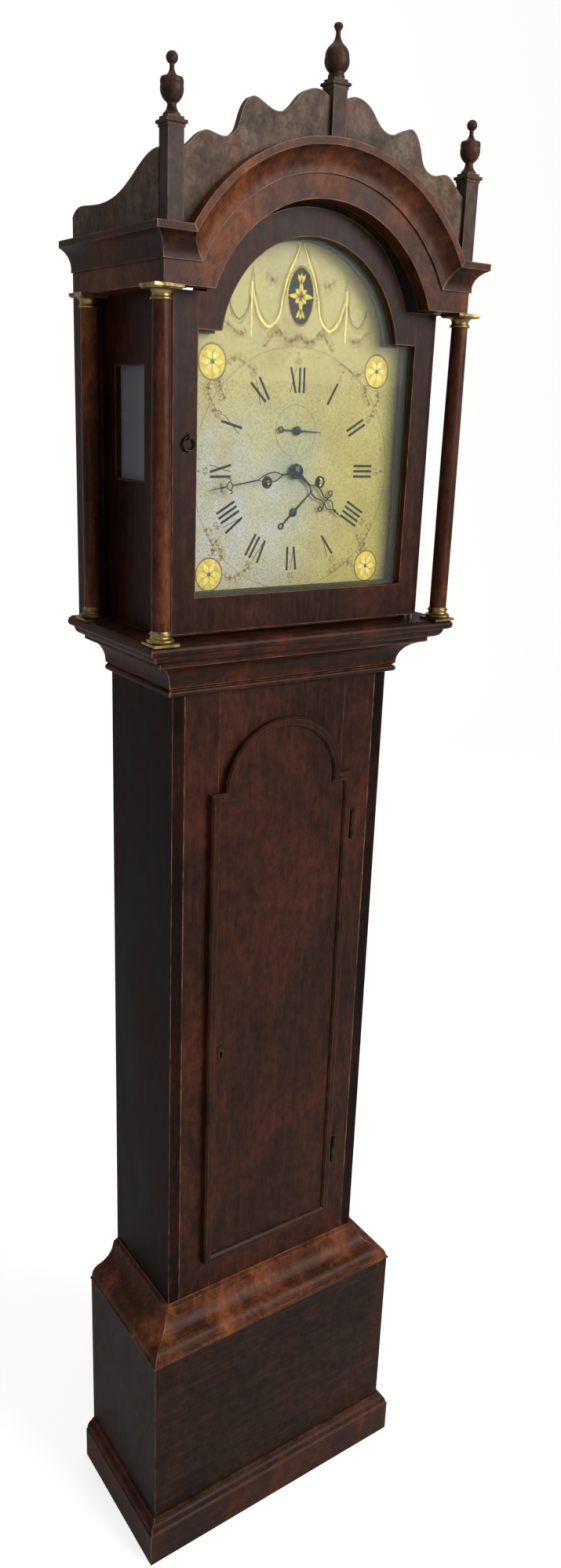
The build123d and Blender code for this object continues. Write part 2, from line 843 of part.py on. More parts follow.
def column_base():
    """Brass base: square tile, two rounds and a hollow."""
    tile = Pos(0, 0, 1.6) * Box(33, 33, 3.2)
    top = base_brass_height
    rounds = [
        Line((0, 3.2), (14.6, 3.2)),
        bow((14.6, 3.2), (14.6, 8.2), -2.0),
        bow((14.6, 8.2), (12.4, 12.4), 1.2),
        bow((12.4, 12.4), (12.2, 15.2), -1.3),
        Line((12.2, 15.2), (11.4, top)),
        Line((11.4, top), (0, top)),
        Line((0, top), (0, 3.2)),
    ]
    return tile, rounds


def column_capital():
    """Brass capital: necking ring, bell and square abacus with a small drop."""
    top = capital_height
    rounds = [
        Line((0, 0), (11.6, 0)),
        bow((11.6, 0), (11.6, 2.6), -1.2),
        Line((11.6, 2.6), (10.6, 4.4)),
        bow((10.6, 4.4), (16.0, top - 5.0), 1.8),
        Line((16.0, top - 5.0), (0, top - 5.0)),
        Line((0, top - 5.0), (0, 0)),
    ]
    abacus = Pos(0, 0, top - 2.5) * Box(35.5, 35.5, 5.0)
    abacus = chamfer(abacus.edges().group_by(Axis.Z)[0], 2.0)
    return rounds, abacus


def column_brasses():
    pieces = []
    for x, d in columns:
        tile, rounds = column_base()
        pieces.append(Pos(x, rear - d, hood_sill_top) * tile + turned(rounds, x, d, hood_sill_top))
        rounds, abacus = column_capital()
        pieces.append(turned(rounds, x, d, column_neck) + Pos(x, rear - d, column_neck) * abacus)
    return pieces


# Hood door

def hood_door():
    """Stiles, bottom rail and arched head, rebated for the glass."""
    outline = break_arch(hood_door_half, hood_door_bottom, hood_door_top, arch_centre, hood_door_arch)
    # The hinge side of the arch is eased, so it swings out past the frieze
    corner = Pos(hood_door_half / 2, hood_door_top + hood_door_arch / 2) * Rectangle(hood_door_half, hood_door_arch)
    outline = outline - (corner - Pos(-eased_shift, arch_centre) * Circle(eased_radius))
    sight = break_arch(sight_half, sight_bottom, sight_shoulder, arch_centre, sight_arch)
    rebate = break_arch(
        sight_half + glass_rebate,
        sight_bottom - glass_rebate,
        sight_shoulder + glass_rebate,
        arch_centre,
        sight_arch + glass_rebate,
    )
    glass_front = hood_door_front - 9.0
    frame = slab(outline - sight, door_back_depth, hood_door_front)
    frame = frame - slab(rebate, door_back_depth - 1, glass_front)
    for low, high in ((hood_door_bottom - 1, hood_door_bottom + 10), (hood_door_top - 10, hood_door_top + 1)):
        frame = frame - post(pivot_x, pivot_depth, door_pivot_radius + bore_play, low, high)
    far = hood_door_half + 1
    near, front = door_back_depth - 1, hood_door_front + 1
    right = frame & block(sight_half, far, near, front, hood_door_bottom, hood_door_top)
    left = frame & block(-far, -sight_half, near, front, hood_door_bottom, hood_door_top)
    middle = frame - right - left
    bottom = middle & block(-far, far, near, front, hood_door_bottom, dial_centre)
    head = middle - bottom
    pane = slab(rebate, glass_front - pane_thick, glass_front)
    return [right, left, bottom, head], pane


door_rails, door_pane = hood_door()


def hood_pivots():
    low = post(
        pivot_x, pivot_depth, door_pivot_radius, hood_sill_top - pivot_depth_in_wood, hood_door_bottom + 9
    )
    high = post(
        pivot_x, pivot_depth, door_pivot_radius, hood_door_top - 9, frieze_bottom + pivot_depth_in_wood
    )
    washer = post(pivot_x, pivot_depth, door_pivot_radius + 1.5, hood_sill_top, hood_door_bottom - slip)
    return low + washer, high


def ring_pull():
    """A wire ring hanging in a small eye on the left stile."""
    ring_depth = hood_door_front + 2.6
    drop = Torus(ring_radius, ring_wire)
    ring = Pos(ring_x, rear - ring_depth, ring_height - ring_radius) * Rot(90, 0, 0) * drop
    eye_top = ring_height + ring_wire + 2.2
    plate = disc(ring_x, ring_height, 3.6, hood_door_front, hood_door_front + 0.6)
    ear = block(ring_x - 0.9, ring_x + 0.9, hood_door_front, ring_depth + 2.8, ring_height - 3.0, eye_top)
    hole = Pos(ring_x, rear - ring_depth, ring_height) * Rot(0, 90, 0) * Cylinder(ring_wire + 0.25, 3)
    return ring, plate + ear - hole


# Wheels of the movement

def polar(radius, angle):
    return (radius * cos(angle), radius * sin(angle))


def tooth_ring(teeth, module, towards):
    """A toothed outline with one tooth pointing at the angle towards, in degrees."""
    pitch = pi * 2 / teeth
    radius = teeth * module / 2
    root, crown = radius - 1.25 * module, radius + 0.8 * module
    root_share, crown_share = (0.19, 0.07) if teeth < 12 else (0.25, 0.09)
    points = []
    for index in range(teeth):
        middle = radians(towards) + index * pitch
        points.append(polar(root, middle - root_share * pitch))
        points.append(polar(crown, middle - crown_share * pitch))
        points.append(polar(crown, middle + crown_share * pitch))
        points.append(polar(root, middle + root_share * pitch))
    return make_face(Polyline(*points, close=True))


def crossings(outer, inner, count):
    """Openings between the spokes of a wheel."""
    ring = Circle(outer) - Circle(inner)
    for index in range(count):
        ring = ring - Rot(0, 0, index * 360 / count) * Pos(outer / 2, 0) * Rectangle(outer + 2, inner * 0.75)
    return ring


def wheel(x, z, teeth, module, towards, d0, d1, spokes=4):
    radius = teeth * module / 2
    face = tooth_ring(teeth, module, towards)
    if spokes:
        face = face - crossings(radius - 1.25 * module - 2.2, max(4.2, radius * 0.2), spokes)
    return slab(Pos(x, z) * face, d0, d1)


def heading(start, end):
    return degrees(atan2(end[1] - start[1], end[0] - start[0]))


def meshed(teeth, angle_from_driver):
    """The angle of a tooth on a wheel that has a gap facing its driver."""
    return angle_from_driver + 180 + 180 / teeth


def beside(origin, distance, angle):
    return (origin[0] + distance * cos(radians(angle)), origin[1] + distance * sin(radians(angle)))


def third_place(first, second, from_first, from_second, side):
    """The point at given distances from two others, on the side given as 1 or -1."""
    span = hypot(second[0] - first[0], second[1] - first[1])
    along = (span**2 + from_first**2 - from_second**2) / (2 * span)
    off = sqrt(from_first**2 - along**2) * side
    ux, uz = (second[0] - first[0]) / span, (second[1] - first[1]) / span
    return (first[0] + along * ux + off * uz, first[1] + along * uz - off * ux)


centre = (0.0, dial_centre)
escape = (0.0, dial_centre + seconds_up)
going = (winding_x, dial_centre - winding_down)
striking = (-winding_x, dial_centre - winding_down)
date = (0.0, dial_centre - date_down)
great_module = 2 * hypot(winding_x, winding_down) / (great_teeth + pinion_leaves)
centre_module = 0.85
third_module = 0.65
pin_module = 0.60
cannon_module = 0.65
hour_module = cannon_module * 2 * cannon_teeth / (hour_teeth + minute_leaves)
third = third_place(
    centre,
    escape,
    (centre_teeth + pinion_leaves) * centre_module / 2,
    (third_teeth + pinion_leaves) * third_module / 2,
    1,
)
pin_centre = beside(striking, (strike_great_teeth + pinion_leaves) * great_module / 2, 71.0)
fly_centre = beside(pin_centre, (pin_teeth + pinion_leaves) * pin_module / 2, 112.0)
minute_post = beside(centre, cannon_teeth * cannon_module, 125.0)
anchor = (0.0, dial_centre + pendulum_up)
hammer_pivot = (-56.0, dial_centre + 70.0)


def spindle(place, d0, d1, radius=arbor):
    return disc(place[0], place[1], radius, d0, d1)


def between_plates(place, *parts):
    """An arbor with thin pivots in both plates, joined to its wheels and pinions."""
    whole = spindle(place, plate_back + slip, front_plate - slip)
    whole = whole + spindle(place, back_plate + pivot_end, plate_front - pivot_end, pivot_radius)
    for part in parts:
        whole = whole + part
    return whole


def layer(place, teeth, module, towards, level, thick=wheel_thick, spokes=4):
    return wheel(*place, teeth, module, towards, level, level + thick, spokes)


def pinion(place, teeth, module, towards, middle):
    """Solid leaves centred on the depth of the wheel that they mesh with."""
    low = middle - pinion_length / 2
    return wheel(*place, teeth, module, towards, low, low + pinion_length, 0)


def great(place, teeth, towards):
    """A great wheel turning on the winding arbor behind its drum."""
    sleeve = disc(*place, 8.0, great_level - 2.0, drum_back - slip)
    bore = disc(*place, winding_arbor_radius + bore_play, great_level - 3.0, drum_back + 1.0)
    return layer(place, teeth, great_module, towards, great_level, great_thick) + sleeve - bore


def going_train():
    angle = heading(centre, going)
    great_middle = great_level + great_thick / 2
    going_great = great(going, great_teeth, angle + 180)
    centre_pinion = pinion(
        centre, pinion_leaves, great_module, meshed(pinion_leaves, angle + 180), great_middle
    )
    to_third = heading(centre, third)
    centre_wheel = layer(centre, centre_teeth, centre_module, to_third, centre_level)
    cannon_angle = heading(centre, minute_post)
    cannon = layer(centre, cannon_teeth, cannon_module, cannon_angle, cannon_level, cannon_thick, 0)
    pipe = spindle(centre, cannon_level - 1, minute_hand_depth + hand_thick + 1, cannon_pipe_radius)
    long_arbor = spindle(centre, front_plate - slip, cannon_level, centre_arbor_radius)
    middle = spindle(centre, plate_back + slip, front_plate)
    middle = middle + spindle(centre, back_plate + pivot_end, plate_back + 1, pivot_radius)
    centre_arbor = middle + long_arbor + centre_pinion + centre_wheel + cannon + pipe
    third_leaves = meshed(pinion_leaves, to_third)
    third_pinion = pinion(third, pinion_leaves, centre_module, third_leaves, centre_level + wheel_thick / 2)
    to_escape = heading(third, escape)
    third_wheel = layer(third, third_teeth, third_module, to_escape, third_level)
    third_arbor = between_plates(third, third_pinion, third_wheel)
    escape_leaves = meshed(pinion_leaves, to_escape)
    escape_pinion = pinion(escape, pinion_leaves, third_module, escape_leaves, third_level + wheel_thick / 2)
    return going_great, centre_arbor, third_arbor, escape_pinion


def escape_wheel(leaves):
    """Thirty pointed teeth, raked as a recoil wheel's are, with its arbor carried on to the dial."""
    points = []
    step = 360 / escape_teeth
    for index in range(escape_teeth):
        points.append(polar(15.0, radians(index * step)))
        points.append(polar(18.5, radians(index * step + 0.35 * step)))
        points.append(polar(15.0, radians(index * step + 0.5 * step)))
    face = make_face(Polyline(*points, close=True)) - crossings(13.2, 4.2, 4)
    rim = slab(Pos(*escape) * face, escape_level, escape_level + wheel_thick)
    rod = spindle(escape, front_plate - 1, seconds_hand_depth + hand_thick, seconds_arbor_radius)
    return between_plates(escape, rim, rod, leaves)


def motion_work():
    away = heading(centre, minute_post)
    wheel_angle = meshed(cannon_teeth, away)
    minute_level = cannon_level + 0.5
    minute_top = minute_level + cannon_thick - 1
    minute_wheel = wheel(*minute_post, cannon_teeth, cannon_module, wheel_angle, minute_level, minute_top, 0)
    leaves_top = hour_level + 4
    leaves = wheel(*minute_post, minute_leaves, hour_module, away + 180, minute_top, leaves_top, 0)
    bore = disc(*minute_post, post_radius + bore_play, minute_level - 1, leaves_top + 1)
    minute_wheel = minute_wheel + leaves - bore
    hour_wheel = layer(centre, hour_teeth, hour_module, meshed(hour_teeth, away + 180), hour_level)
    pipe_top = hour_hand_depth + hand_thick + 0.2
    pipe = disc(*centre, hour_pipe_radius, hour_level - 1, pipe_top)
    hour_wheel = hour_wheel + pipe - disc(
        *centre, cannon_pipe_radius + bore_play, hour_level - 2, pipe_top + 1
    )
    return minute_wheel, hour_wheel


def strike_train():
    angle = heading(striking, pin_centre)
    strike_great = great(striking, strike_great_teeth, angle)
    great_middle = great_level + great_thick / 2
    pin_pinion = pinion(pin_centre, pinion_leaves, great_module, meshed(pinion_leaves, angle), great_middle)
    to_fly = heading(pin_centre, fly_centre)
    rim = layer(pin_centre, pin_teeth, pin_module, to_fly, pin_level)
    pins = []
    for index in range(strike_pins):
        place = beside(pin_centre, 15.8, index * 360 / strike_pins)
        pins.append(disc(*place, 0.8, pin_level - 3, pin_level))
    pin_wheel = between_plates(pin_centre, pin_pinion, rim, *pins)
    fly_leaves = meshed(pinion_leaves, to_fly)
    fly_pinion = pinion(fly_centre, pinion_leaves, pin_module, fly_leaves, pin_level + wheel_thick / 2)
    x, z = fly_centre
    fly_back, fly_front = plate_back + 17, pin_level - 10
    blade = slab(rectangle(x - 13, x + 13, z - 0.5, z + 0.5), fly_back, fly_front)
    fly = between_plates(fly_centre, fly_pinion, blade, disc(x, z, 3.0, fly_back, fly_front))
    return strike_great, pin_wheel, fly


def drum(place):
    """A grooved drum on the winding arbor, whose squared end comes through the dial."""
    low, high = drum_back, drum_back + drum_width
    body = disc(*place, drum_radius - 1.0, low, high)
    pitch = 2.2
    for index in range(int((high - low) / pitch)):
        start = low + index * pitch
        body = body + disc(*place, drum_radius - 0.2, start, start + pitch * 0.35)
    flange = disc(*place, drum_radius + 2.5, high, high + 1.6)
    rod = spindle(place, plate_back + slip, front_plate - slip, winding_arbor_radius)
    rod = rod + spindle(place, back_plate + pivot_end, dial_front - 5, winding_pivot_radius)
    outline = Pos(*place) * Rotation(0, 0, 45) * Rectangle(winding_square, winding_square)
    return body + flange + rod + slab(outline, dial_front - 8, dial_front + 3)


arbor_places = [centre, third, escape, pin_centre, fly_centre]
pillar_places = [(side * (plate_half - 9), seat_top + 10) for side in (-1, 1)]
pillar_places = pillar_places + [
    (side * (plate_half - 22), dial_centre + plate_above - 9) for side in (-1, 1)
]


def movement_frame():
    """Two brass plates on four pillars, bored for every pivot."""
    outline = rectangle(-plate_half, plate_half, seat_top, dial_centre + plate_above)
    feet = []
    back = slab(outline, back_plate, plate_back)
    front = slab(outline, front_plate, plate_front)
    thin = pivot_radius + bore_play
    back_holes = [(place, thin) for place in arbor_places + [hammer_pivot]]
    back_holes = back_holes + [(anchor, arbor + bore_play)]
    front_holes = [(place, thin) for place in (third, pin_centre, fly_centre, anchor, hammer_pivot)]
    front_holes = front_holes + [(centre, centre_arbor_radius + bore_play)]
    front_holes = front_holes + [(escape, seconds_arbor_radius + bore_play)]
    for place in (going, striking):
        back_holes.append((place, winding_pivot_radius + bore_play))
        front_holes.append((place, winding_pivot_radius + bore_play))
    for place, radius in back_holes:
        back = back - disc(*place, radius, back_plate - 1, plate_back + 1)
    for place, radius in front_holes:
        front = front - disc(*place, radius, front_plate - 1, plate_front + 1)
    for x, z in pillar_places:
        feet.append(disc(x, z, 4.0, plate_back, front_plate))
        feet.append(disc(x, z, 2.6, plate_front, plate_front + 3))
    stud = disc(*minute_post, post_radius, plate_front, hour_level + 4.6)
    stud = stud + disc(*minute_post, 2.4, plate_front, cannon_level + 0.2)
    return [back, front] + feet + [stud]


def dial_plate():
    """Arched iron dial, pierced for the arbors, on four feet from the front plate."""
    outline = break_arch(dial_half, dial_centre - dial_half, dial_shoulder, arch_centre, dial_arch)
    back = dial_front - dial_thick
    holes = [(centre, 6.5), (escape, 2.2), (date, 2.2), (going, 5.4), (striking, 5.4)]
    for place, radius in holes:
        outline = outline - Pos(*place) * Circle(radius)
    pieces = [slab(outline, back, dial_front)]
    for x in (-1, 1):
        for z in (seat_top + 26, dial_centre + plate_above - 26):
            pieces.append(disc(x * (plate_half - 6), z, 3.0, plate_front, back))
    pieces.append(disc(*date, post_radius, plate_front, dial_front + 1.6))
    return pieces


def hand(place, angle, length, tail, d0, hub, bore, width, loop=0.0):
    """A hand cut from sheet: tapered stem, hub, optional pierced loop and tail ring."""
    stem = make_face(Polyline((-width / 2, 0), (-0.4, length), (0.4, length), (width / 2, 0), close=True))
    face = stem + Circle(hub)
    if loop:
        reach = length * 0.56
        face = face + Pos(0, reach) * (Ellipse(loop * 0.62, loop) - Ellipse(loop * 0.62 - 1.7, loop - 2.0))
        for side in (-1, 1):
            scroll = Circle(loop * 0.36) - Circle(loop * 0.36 - 1.5)
            face = face + Pos(side * loop * 0.42, reach - loop * 1.2) * scroll
    if tail:
        face = face + rectangle(-width / 3, width / 3, -tail + 3, 0)
        face = face + Pos(0, -tail) * (Circle(4.2) - Circle(2.4))
    face = face - Circle(bore)
    return slab(Pos(*place) * Rot(0, 0, -angle) * face, d0, d0 + hand_thick)


def pendulum():
    """Suspension spring, rod, lenticular bob and rating nut, hanging from its cock."""
    top = anchor[1]
    bob_z = top - pendulum_length
    d = pendulum_depth
    spring = block(-4.0, 4.0, d - 0.3, d + 0.3, top - 46, top + 4.6)
    rod = post(0, d, 2.2, bob_z - bob_radius - 24, top - 44)
    lens = [
        Line((0, -bob_half_thick), (5.0, -bob_half_thick)),
        bow((5.0, -bob_half_thick), (bob_radius, 0), -5.0),
        bow((bob_radius, 0), (5.0, bob_half_thick), -5.0),
        Line((5.0, bob_half_thick), (0, bob_half_thick)),
        Line((0, bob_half_thick), (0, -bob_half_thick)),
    ]
    bob = revolve(make_face(Plane.XZ * (Curve() + lens)), Axis.Z)
    bob = Pos(0, rear - d, bob_z) * Rot(90, 0, 0) * bob
    bob = bob - post(0, d, 2.2, bob_z - bob_radius - 1, bob_z + bob_radius + 1)
    nut_top = bob_z - bob_radius + 0.4
    nut = post(0, d, 7.0, nut_top - 7, nut_top - 1.4) + post(0, d, 4.0, nut_top - 11, nut_top - 7)
    nut = nut - post(0, d, 2.2, nut_top - 20, nut_top + 1)
    return spring + rod, bob, nut


def pendulum_cock():
    """A bracket behind the back plate that clamps the suspension spring."""
    top = anchor[1]
    d = pendulum_depth
    arm_low = top + 5
    arm = block(-14, 14, d - 4, back_plate, arm_low, arm_low + 7)
    foot = block(-14, 14, back_plate - 4, back_plate, arm_low - 2, dial_centre + plate_above)
    return arm + foot


def anchor_piece():
    """Recoil anchor over the escape wheel, its arbor and the crutch that steers the pendulum."""
    reach = 19.6
    drop = anchor[1] - escape[1]
    arms = []
    for side in (-1, 1):
        tip = (side * reach * sin(radians(58)), escape[1] + reach * cos(radians(58)))
        face = make_face(
            Polyline(
                (anchor[0] - side * 1.0, anchor[1] + 2.6),
                (side * 12.0, anchor[1] - 1.0),
                (tip[0] + side * 2.6, tip[1] + 1.6),
                (tip[0] + side * 0.3, tip[1]),
                (side * 10.4, anchor[1] - drop * 0.28),
                (anchor[0] - side * 1.0, anchor[1] - 2.4),
                close=True,
            )
        )
        arms.append(slab(face, escape_level - 0.5, escape_level + wheel_thick + 0.5))
    body = disc(*anchor, 3.4, escape_level - 0.5, escape_level + wheel_thick + 0.5) + arms[0] + arms[1]
    crutch = back_plate - 12.0
    rod = spindle(anchor, crutch, front_plate - slip)
    rod = rod + spindle(anchor, crutch, plate_front - pivot_end, pivot_radius)
    fork_z = anchor[1] - 118
    strip = block(-2.5, 2.5, crutch, crutch + 2, fork_z, anchor[1] + 3)
    fork = block(-5.5, 5.5, pendulum_depth - 5, crutch + 2, fork_z, fork_z + 3)
    slot = block(
        -2.2 - slip, 2.2 + slip, pendulum_depth - 7, pendulum_depth + 2.2 + slip, fork_z - 1, fork_z + 4
    )
    return body + rod + strip + (fork - slot)


def hammer():
    """Striking hammer: arbor between the plates, tail near the pins, head beside the bell."""
    x, z = hammer_pivot
    rod = between_plates(hammer_pivot)
    stem = block(x - 1.2, x + 1.2, bell_depth - 1.5, bell_depth + 1.5, z, bell_rim - 2)
    head = block(x - 7, x + 1.6, bell_depth - 4.5, bell_depth + 4.5, bell_rim - 8, bell_rim + 4)
    tail = Pos(x, rear - pin_level + 5, z) * Rot(0, -18, 0) * Pos(0, 0, -15) * Box(2, 2, 30)
    return rod + stem + head + tail


def bell_and_stand():
    """Cast bell over the movement on an iron stand from the back plate."""
    d = bell_depth
    wall = 2.4
    r = bell_radius
    tall = 34.0
    waist = 15.0
    neck = 6.0
    shell = [
        Line((0, tall), (neck, tall)),
        bow((neck, tall), (r - 9, waist), 6.0),
        bow((r - 9, waist), (r, 0), -1.0),
        Line((r, 0), (r - wall, 0)),
        bow((r - wall, 0), (r - 9 - wall, waist), 1.0),
        bow((r - 9 - wall, waist), (neck, tall - wall), -5.6),
        Line((neck, tall - wall), (0, tall - wall)),
        Line((0, tall - wall), (0, tall)),
    ]
    bell = turned(shell, 0, d, bell_rim)
    crown = bell_rim + tall
    stem = post(0, d, 3.0, bell_rim - 12, crown - wall)
    nut = post(0, d, 5.0, crown, crown + 5)
    arm = block(-4, 4, back_plate, d + 3, bell_rim - 16, bell_rim - 12)
    foot = block(-4, 4, back_plate, plate_back, dial_centre + plate_above, bell_rim - 16)
    return bell, arm + stem + foot, nut


# Weights and lines

def weight_set(sign):
    """A cast weight hung from a pulley, the pulley riding on a doubled gut line."""
    line_x = sign * line_out
    centre_x = line_x + sign * pulley_radius
    anchor_x = line_x + sign * 2 * pulley_radius
    d = drum_middle
    pulley_z = weight_top + pulley_above_weight
    body = [
        Line((0, -weight_length), (weight_radius - 2, -weight_length)),
        Line((weight_radius - 2, -weight_length), (weight_radius, -weight_length + 2)),
        Line((weight_radius, -weight_length + 2), (weight_radius, -14)),
        bow((weight_radius, -14), (9, -2), -3.0),
        Line((9, -2), (9, 0)),
        Line((9, 0), (0, 0)),
        Line((0, 0), (0, -weight_length)),
    ]
    weight = turned(body, centre_x, d, weight_top)
    groove = pulley_radius - line_radius
    wheel_half = 2.2
    pulley = disc(centre_x, pulley_z, groove, d - wheel_half, d + wheel_half)
    for face_d in (d - wheel_half - 1, d + wheel_half):
        pulley = pulley + disc(centre_x, pulley_z, groove + 2.2, face_d, face_d + 1)
    pulley = pulley + disc(centre_x, pulley_z, 2.0, d - 5.4, d + 5.4)
    stirrup = block(centre_x - 3, centre_x + 3, d - 6.6, d - 4.6, weight_top, pulley_z + 5)
    stirrup = stirrup + block(centre_x - 3, centre_x + 3, d + 4.6, d + 6.6, weight_top, pulley_z + 5)
    stirrup = stirrup + block(centre_x - 3, centre_x + 3, d - 6.6, d + 6.6, weight_top, weight_top + 2.5)
    stirrup = stirrup - disc(centre_x, pulley_z, 2.0 + bore_play, d - 7, d + 7)
    top_z = going[1]
    path = Polyline((line_x, rear - d, top_z), (line_x, rear - d, pulley_z))
    bend = ThreePointArc(
        (line_x, rear - d, pulley_z),
        (centre_x, rear - d, pulley_z - pulley_radius),
        (anchor_x, rear - d, pulley_z),
    )
    fall = Line((anchor_x, rear - d, pulley_z), (anchor_x, rear - d, seat_top + 3))
    route = Wire([*path.edges(), bend.edge(), fall.edge()])
    section = Plane(origin=(line_x, rear - d, top_z), z_dir=(0, 0, -1)) * Circle(line_radius)
    line = sweep(section, path=route)
    return weight, pulley, stirrup, line


def seatboard():
    low, high = seat_depths
    board = block(-inner_half, inner_half, low, high, seat_bottom, seat_top)
    for sign in (-1, 1):
        d = drum_middle
        line_x = sign * line_out
        far_x = line_x + sign * 2 * pulley_radius
        board = board - block(line_x - 6, line_x + 6, d - 14, d + 14, seat_bottom - 1, seat_top + 1)
        board = board - post(far_x, d, line_radius + 0.2, seat_bottom - 1, seat_top + 1)
    return board


# Write every node

save("backboard", backboard())
save("trunk_sides", *trunk_sides())
save("trunk_front_frame", trunk_stiles, trunk_rails)
save("throat_moulding", *throat())
save("base_panels", *base_panels())
save("base_cove_moulding", *base_cove())
save("base_skirting", *skirting())
save("seatboard", seatboard())
save("movement_frame", *movement_frame())
save("dial_plate", *dial_plate())
bell, bell_stand, bell_nut = bell_and_stand()
save("bell", bell)
save("movement_brackets", bell_stand, bell_nut, pendulum_cock())
save("case_hinge_leaves", *case_hinges)

lock_case, lock_bolt = trunk_lock()
save("trunk_door_panel", trunk_door_panel())
save("trunk_door_bead", trunk_door_bead())
save("trunk_door_hinge_leaves", *door_hinges)
save("trunk_door_lock", lock_case)
save("trunk_lock_bolt", lock_bolt)
save("trunk_door_escutcheon", keyhole_plate(lock_x, trunk_lock_height, door_front, 5.5, 13.0, 0.8))

save("hood_sill", *hood_sill())
save("hood_sides", right_side, left_side, right_cheek, left_cheek)
save("hood_side_panes", right_pane, left_pane)
save("hood_frieze", *frieze())
cornice_returns, cornice_arch_piece = cornice()
save("hood_cornice", *cornice_returns)
save("arch_moulding", cornice_arch_piece)
save("hood_roof", *hood_roof())
save("dial_mask", dial_mask())
save("cresting", *front_cresting(), *side_cresting())
save(
    "finial_plinths",
    plinth(-plinth_x, cornice_top, side_plinth_top),
    centre_plinth(),
    plinth(plinth_x, cornice_top, side_plinth_top),
)
save(
    "finials",
    turned(side_finial(), -plinth_x, plinth_depth, side_plinth_top),
    turned(centre_finial(), 0, plinth_depth, centre_plinth_top),
    turned(side_finial(), plinth_x, plinth_depth, side_plinth_top),
)
save("hood_columns", *[turned(column_shaft(), x, d, column_foot) for x, d in columns])
save("column_brasses", *column_brasses())
save("hood_door_pivots", *hood_pivots())
save("hood_door_frame", *door_rails)
save("hood_door_pane", door_pane)
drop_ring, ring_eye = ring_pull()
save("hood_door_eye", ring_eye)
save("hood_door_ring", drop_ring)

going_great, centre_arbor, third_arbor, escape_pinion = going_train()
minute_wheel, hour_wheel = motion_work()
strike_great, pin_wheel, fly = strike_train()
save("going_great_wheel", going_great)
save("centre_wheel", centre_arbor)
save("third_wheel", third_arbor)
save("escape_wheel", escape_wheel(escape_pinion))
save("minute_wheel", minute_wheel)
save("hour_wheel", hour_wheel)
save("strike_great_wheel", strike_great)
save("pin_wheel", pin_wheel)
save("fly", fly)
save("going_drum", drum(going))
save("strike_drum", drum(striking))
minute_hand = hand(
    centre, minute_angle, minute_length, 0, minute_hand_depth, 8.0, cannon_pipe_radius, 4.6, 14.0
)
hour_hand = hand(centre, hour_angle, hour_length, 0, hour_hand_depth, 9.0, hour_pipe_radius, 5.6, 17.0)
save("minute_hand", minute_hand)
save("hour_hand", hour_hand)
seconds_hand = hand(
    escape, seconds_angle, seconds_length, seconds_tail, seconds_hand_depth, 5.0, seconds_arbor_radius, 3.2
)
date_hand = hand(
    date, date_angle, date_length, date_tail, dial_front + 0.5, 4.6, post_radius + bore_play, 3.2
)
save("seconds_hand", seconds_hand)
save("date_hand", date_hand)
save("anchor", anchor_piece())
rod, bob, rating_nut = pendulum()
save("pendulum_rod", rod)
save("pendulum_bob", bob, rating_nut)
save("hammer", hammer())
for side_name, side_sign in (("going", 1), ("strike", -1)):
    weight, pulley, stirrup, line = weight_set(side_sign)
    save(f"{side_name}_weight", weight, pulley, stirrup)
    save(f"{side_name}_line", line)
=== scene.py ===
import math
import bpy
import numpy as np
from mathutils import Matrix, Vector


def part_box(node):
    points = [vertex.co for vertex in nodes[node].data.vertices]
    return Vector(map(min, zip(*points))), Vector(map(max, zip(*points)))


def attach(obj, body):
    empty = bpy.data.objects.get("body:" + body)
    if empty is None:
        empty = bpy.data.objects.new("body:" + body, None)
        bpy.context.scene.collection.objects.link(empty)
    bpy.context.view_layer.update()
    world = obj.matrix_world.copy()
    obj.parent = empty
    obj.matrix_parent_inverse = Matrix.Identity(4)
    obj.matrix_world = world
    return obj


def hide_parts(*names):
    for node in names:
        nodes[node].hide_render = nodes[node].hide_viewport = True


# Longcase clock: wood, dial painting, pierced hands and studio, all in metres.
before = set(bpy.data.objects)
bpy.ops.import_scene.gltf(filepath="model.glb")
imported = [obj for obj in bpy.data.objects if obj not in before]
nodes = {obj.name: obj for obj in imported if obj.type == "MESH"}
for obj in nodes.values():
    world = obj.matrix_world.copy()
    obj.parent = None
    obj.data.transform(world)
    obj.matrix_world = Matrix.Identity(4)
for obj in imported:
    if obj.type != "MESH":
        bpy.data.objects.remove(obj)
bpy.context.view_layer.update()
print("frame loaded:", len(nodes), "pieces")


# Small helpers

def linear(red, green, blue):                       # a screen colour 0-255 to linear light
    rgb = np.array([red, green, blue]) / 255.0
    light = np.where(rgb <= 0.04045, rgb / 12.92, ((rgb + 0.055) / 1.055) ** 2.4)
    return tuple(float(value) for value in light) + (1.0,)


def grey(value):
    return (value, value, value, 1)


def linked(name, data):                             # a new object in the scene
    piece = bpy.data.objects.new(name, data)
    bpy.context.scene.collection.objects.link(piece)
    return piece


def addNode(tree, kind, **settings):
    node = tree.nodes.new(kind)
    for key, value in settings.items():
        setattr(node, key, value)
    return node


def ramp(tree, source, stops):
    node = addNode(tree, "ShaderNodeValToRGB")
    while len(node.color_ramp.elements) < len(stops):
        node.color_ramp.elements.new(0.5)
    for element, (position, color) in zip(node.color_ramp.elements, stops):
        element.position = position
        element.color = color
    tree.links.new(source, node.inputs["Fac"])
    return node.outputs["Color"]


def mixColor(tree, factor, first, second, blend="MIX"):
    node = addNode(tree, "ShaderNodeMix", data_type="RGBA", blend_type=blend)
    for socket, value in zip((node.inputs[0], node.inputs[6], node.inputs[7]), (factor, first, second)):
        if hasattr(value, "links"):
            tree.links.new(value, socket)
        else:
            socket.default_value = value
    return node.outputs[2]


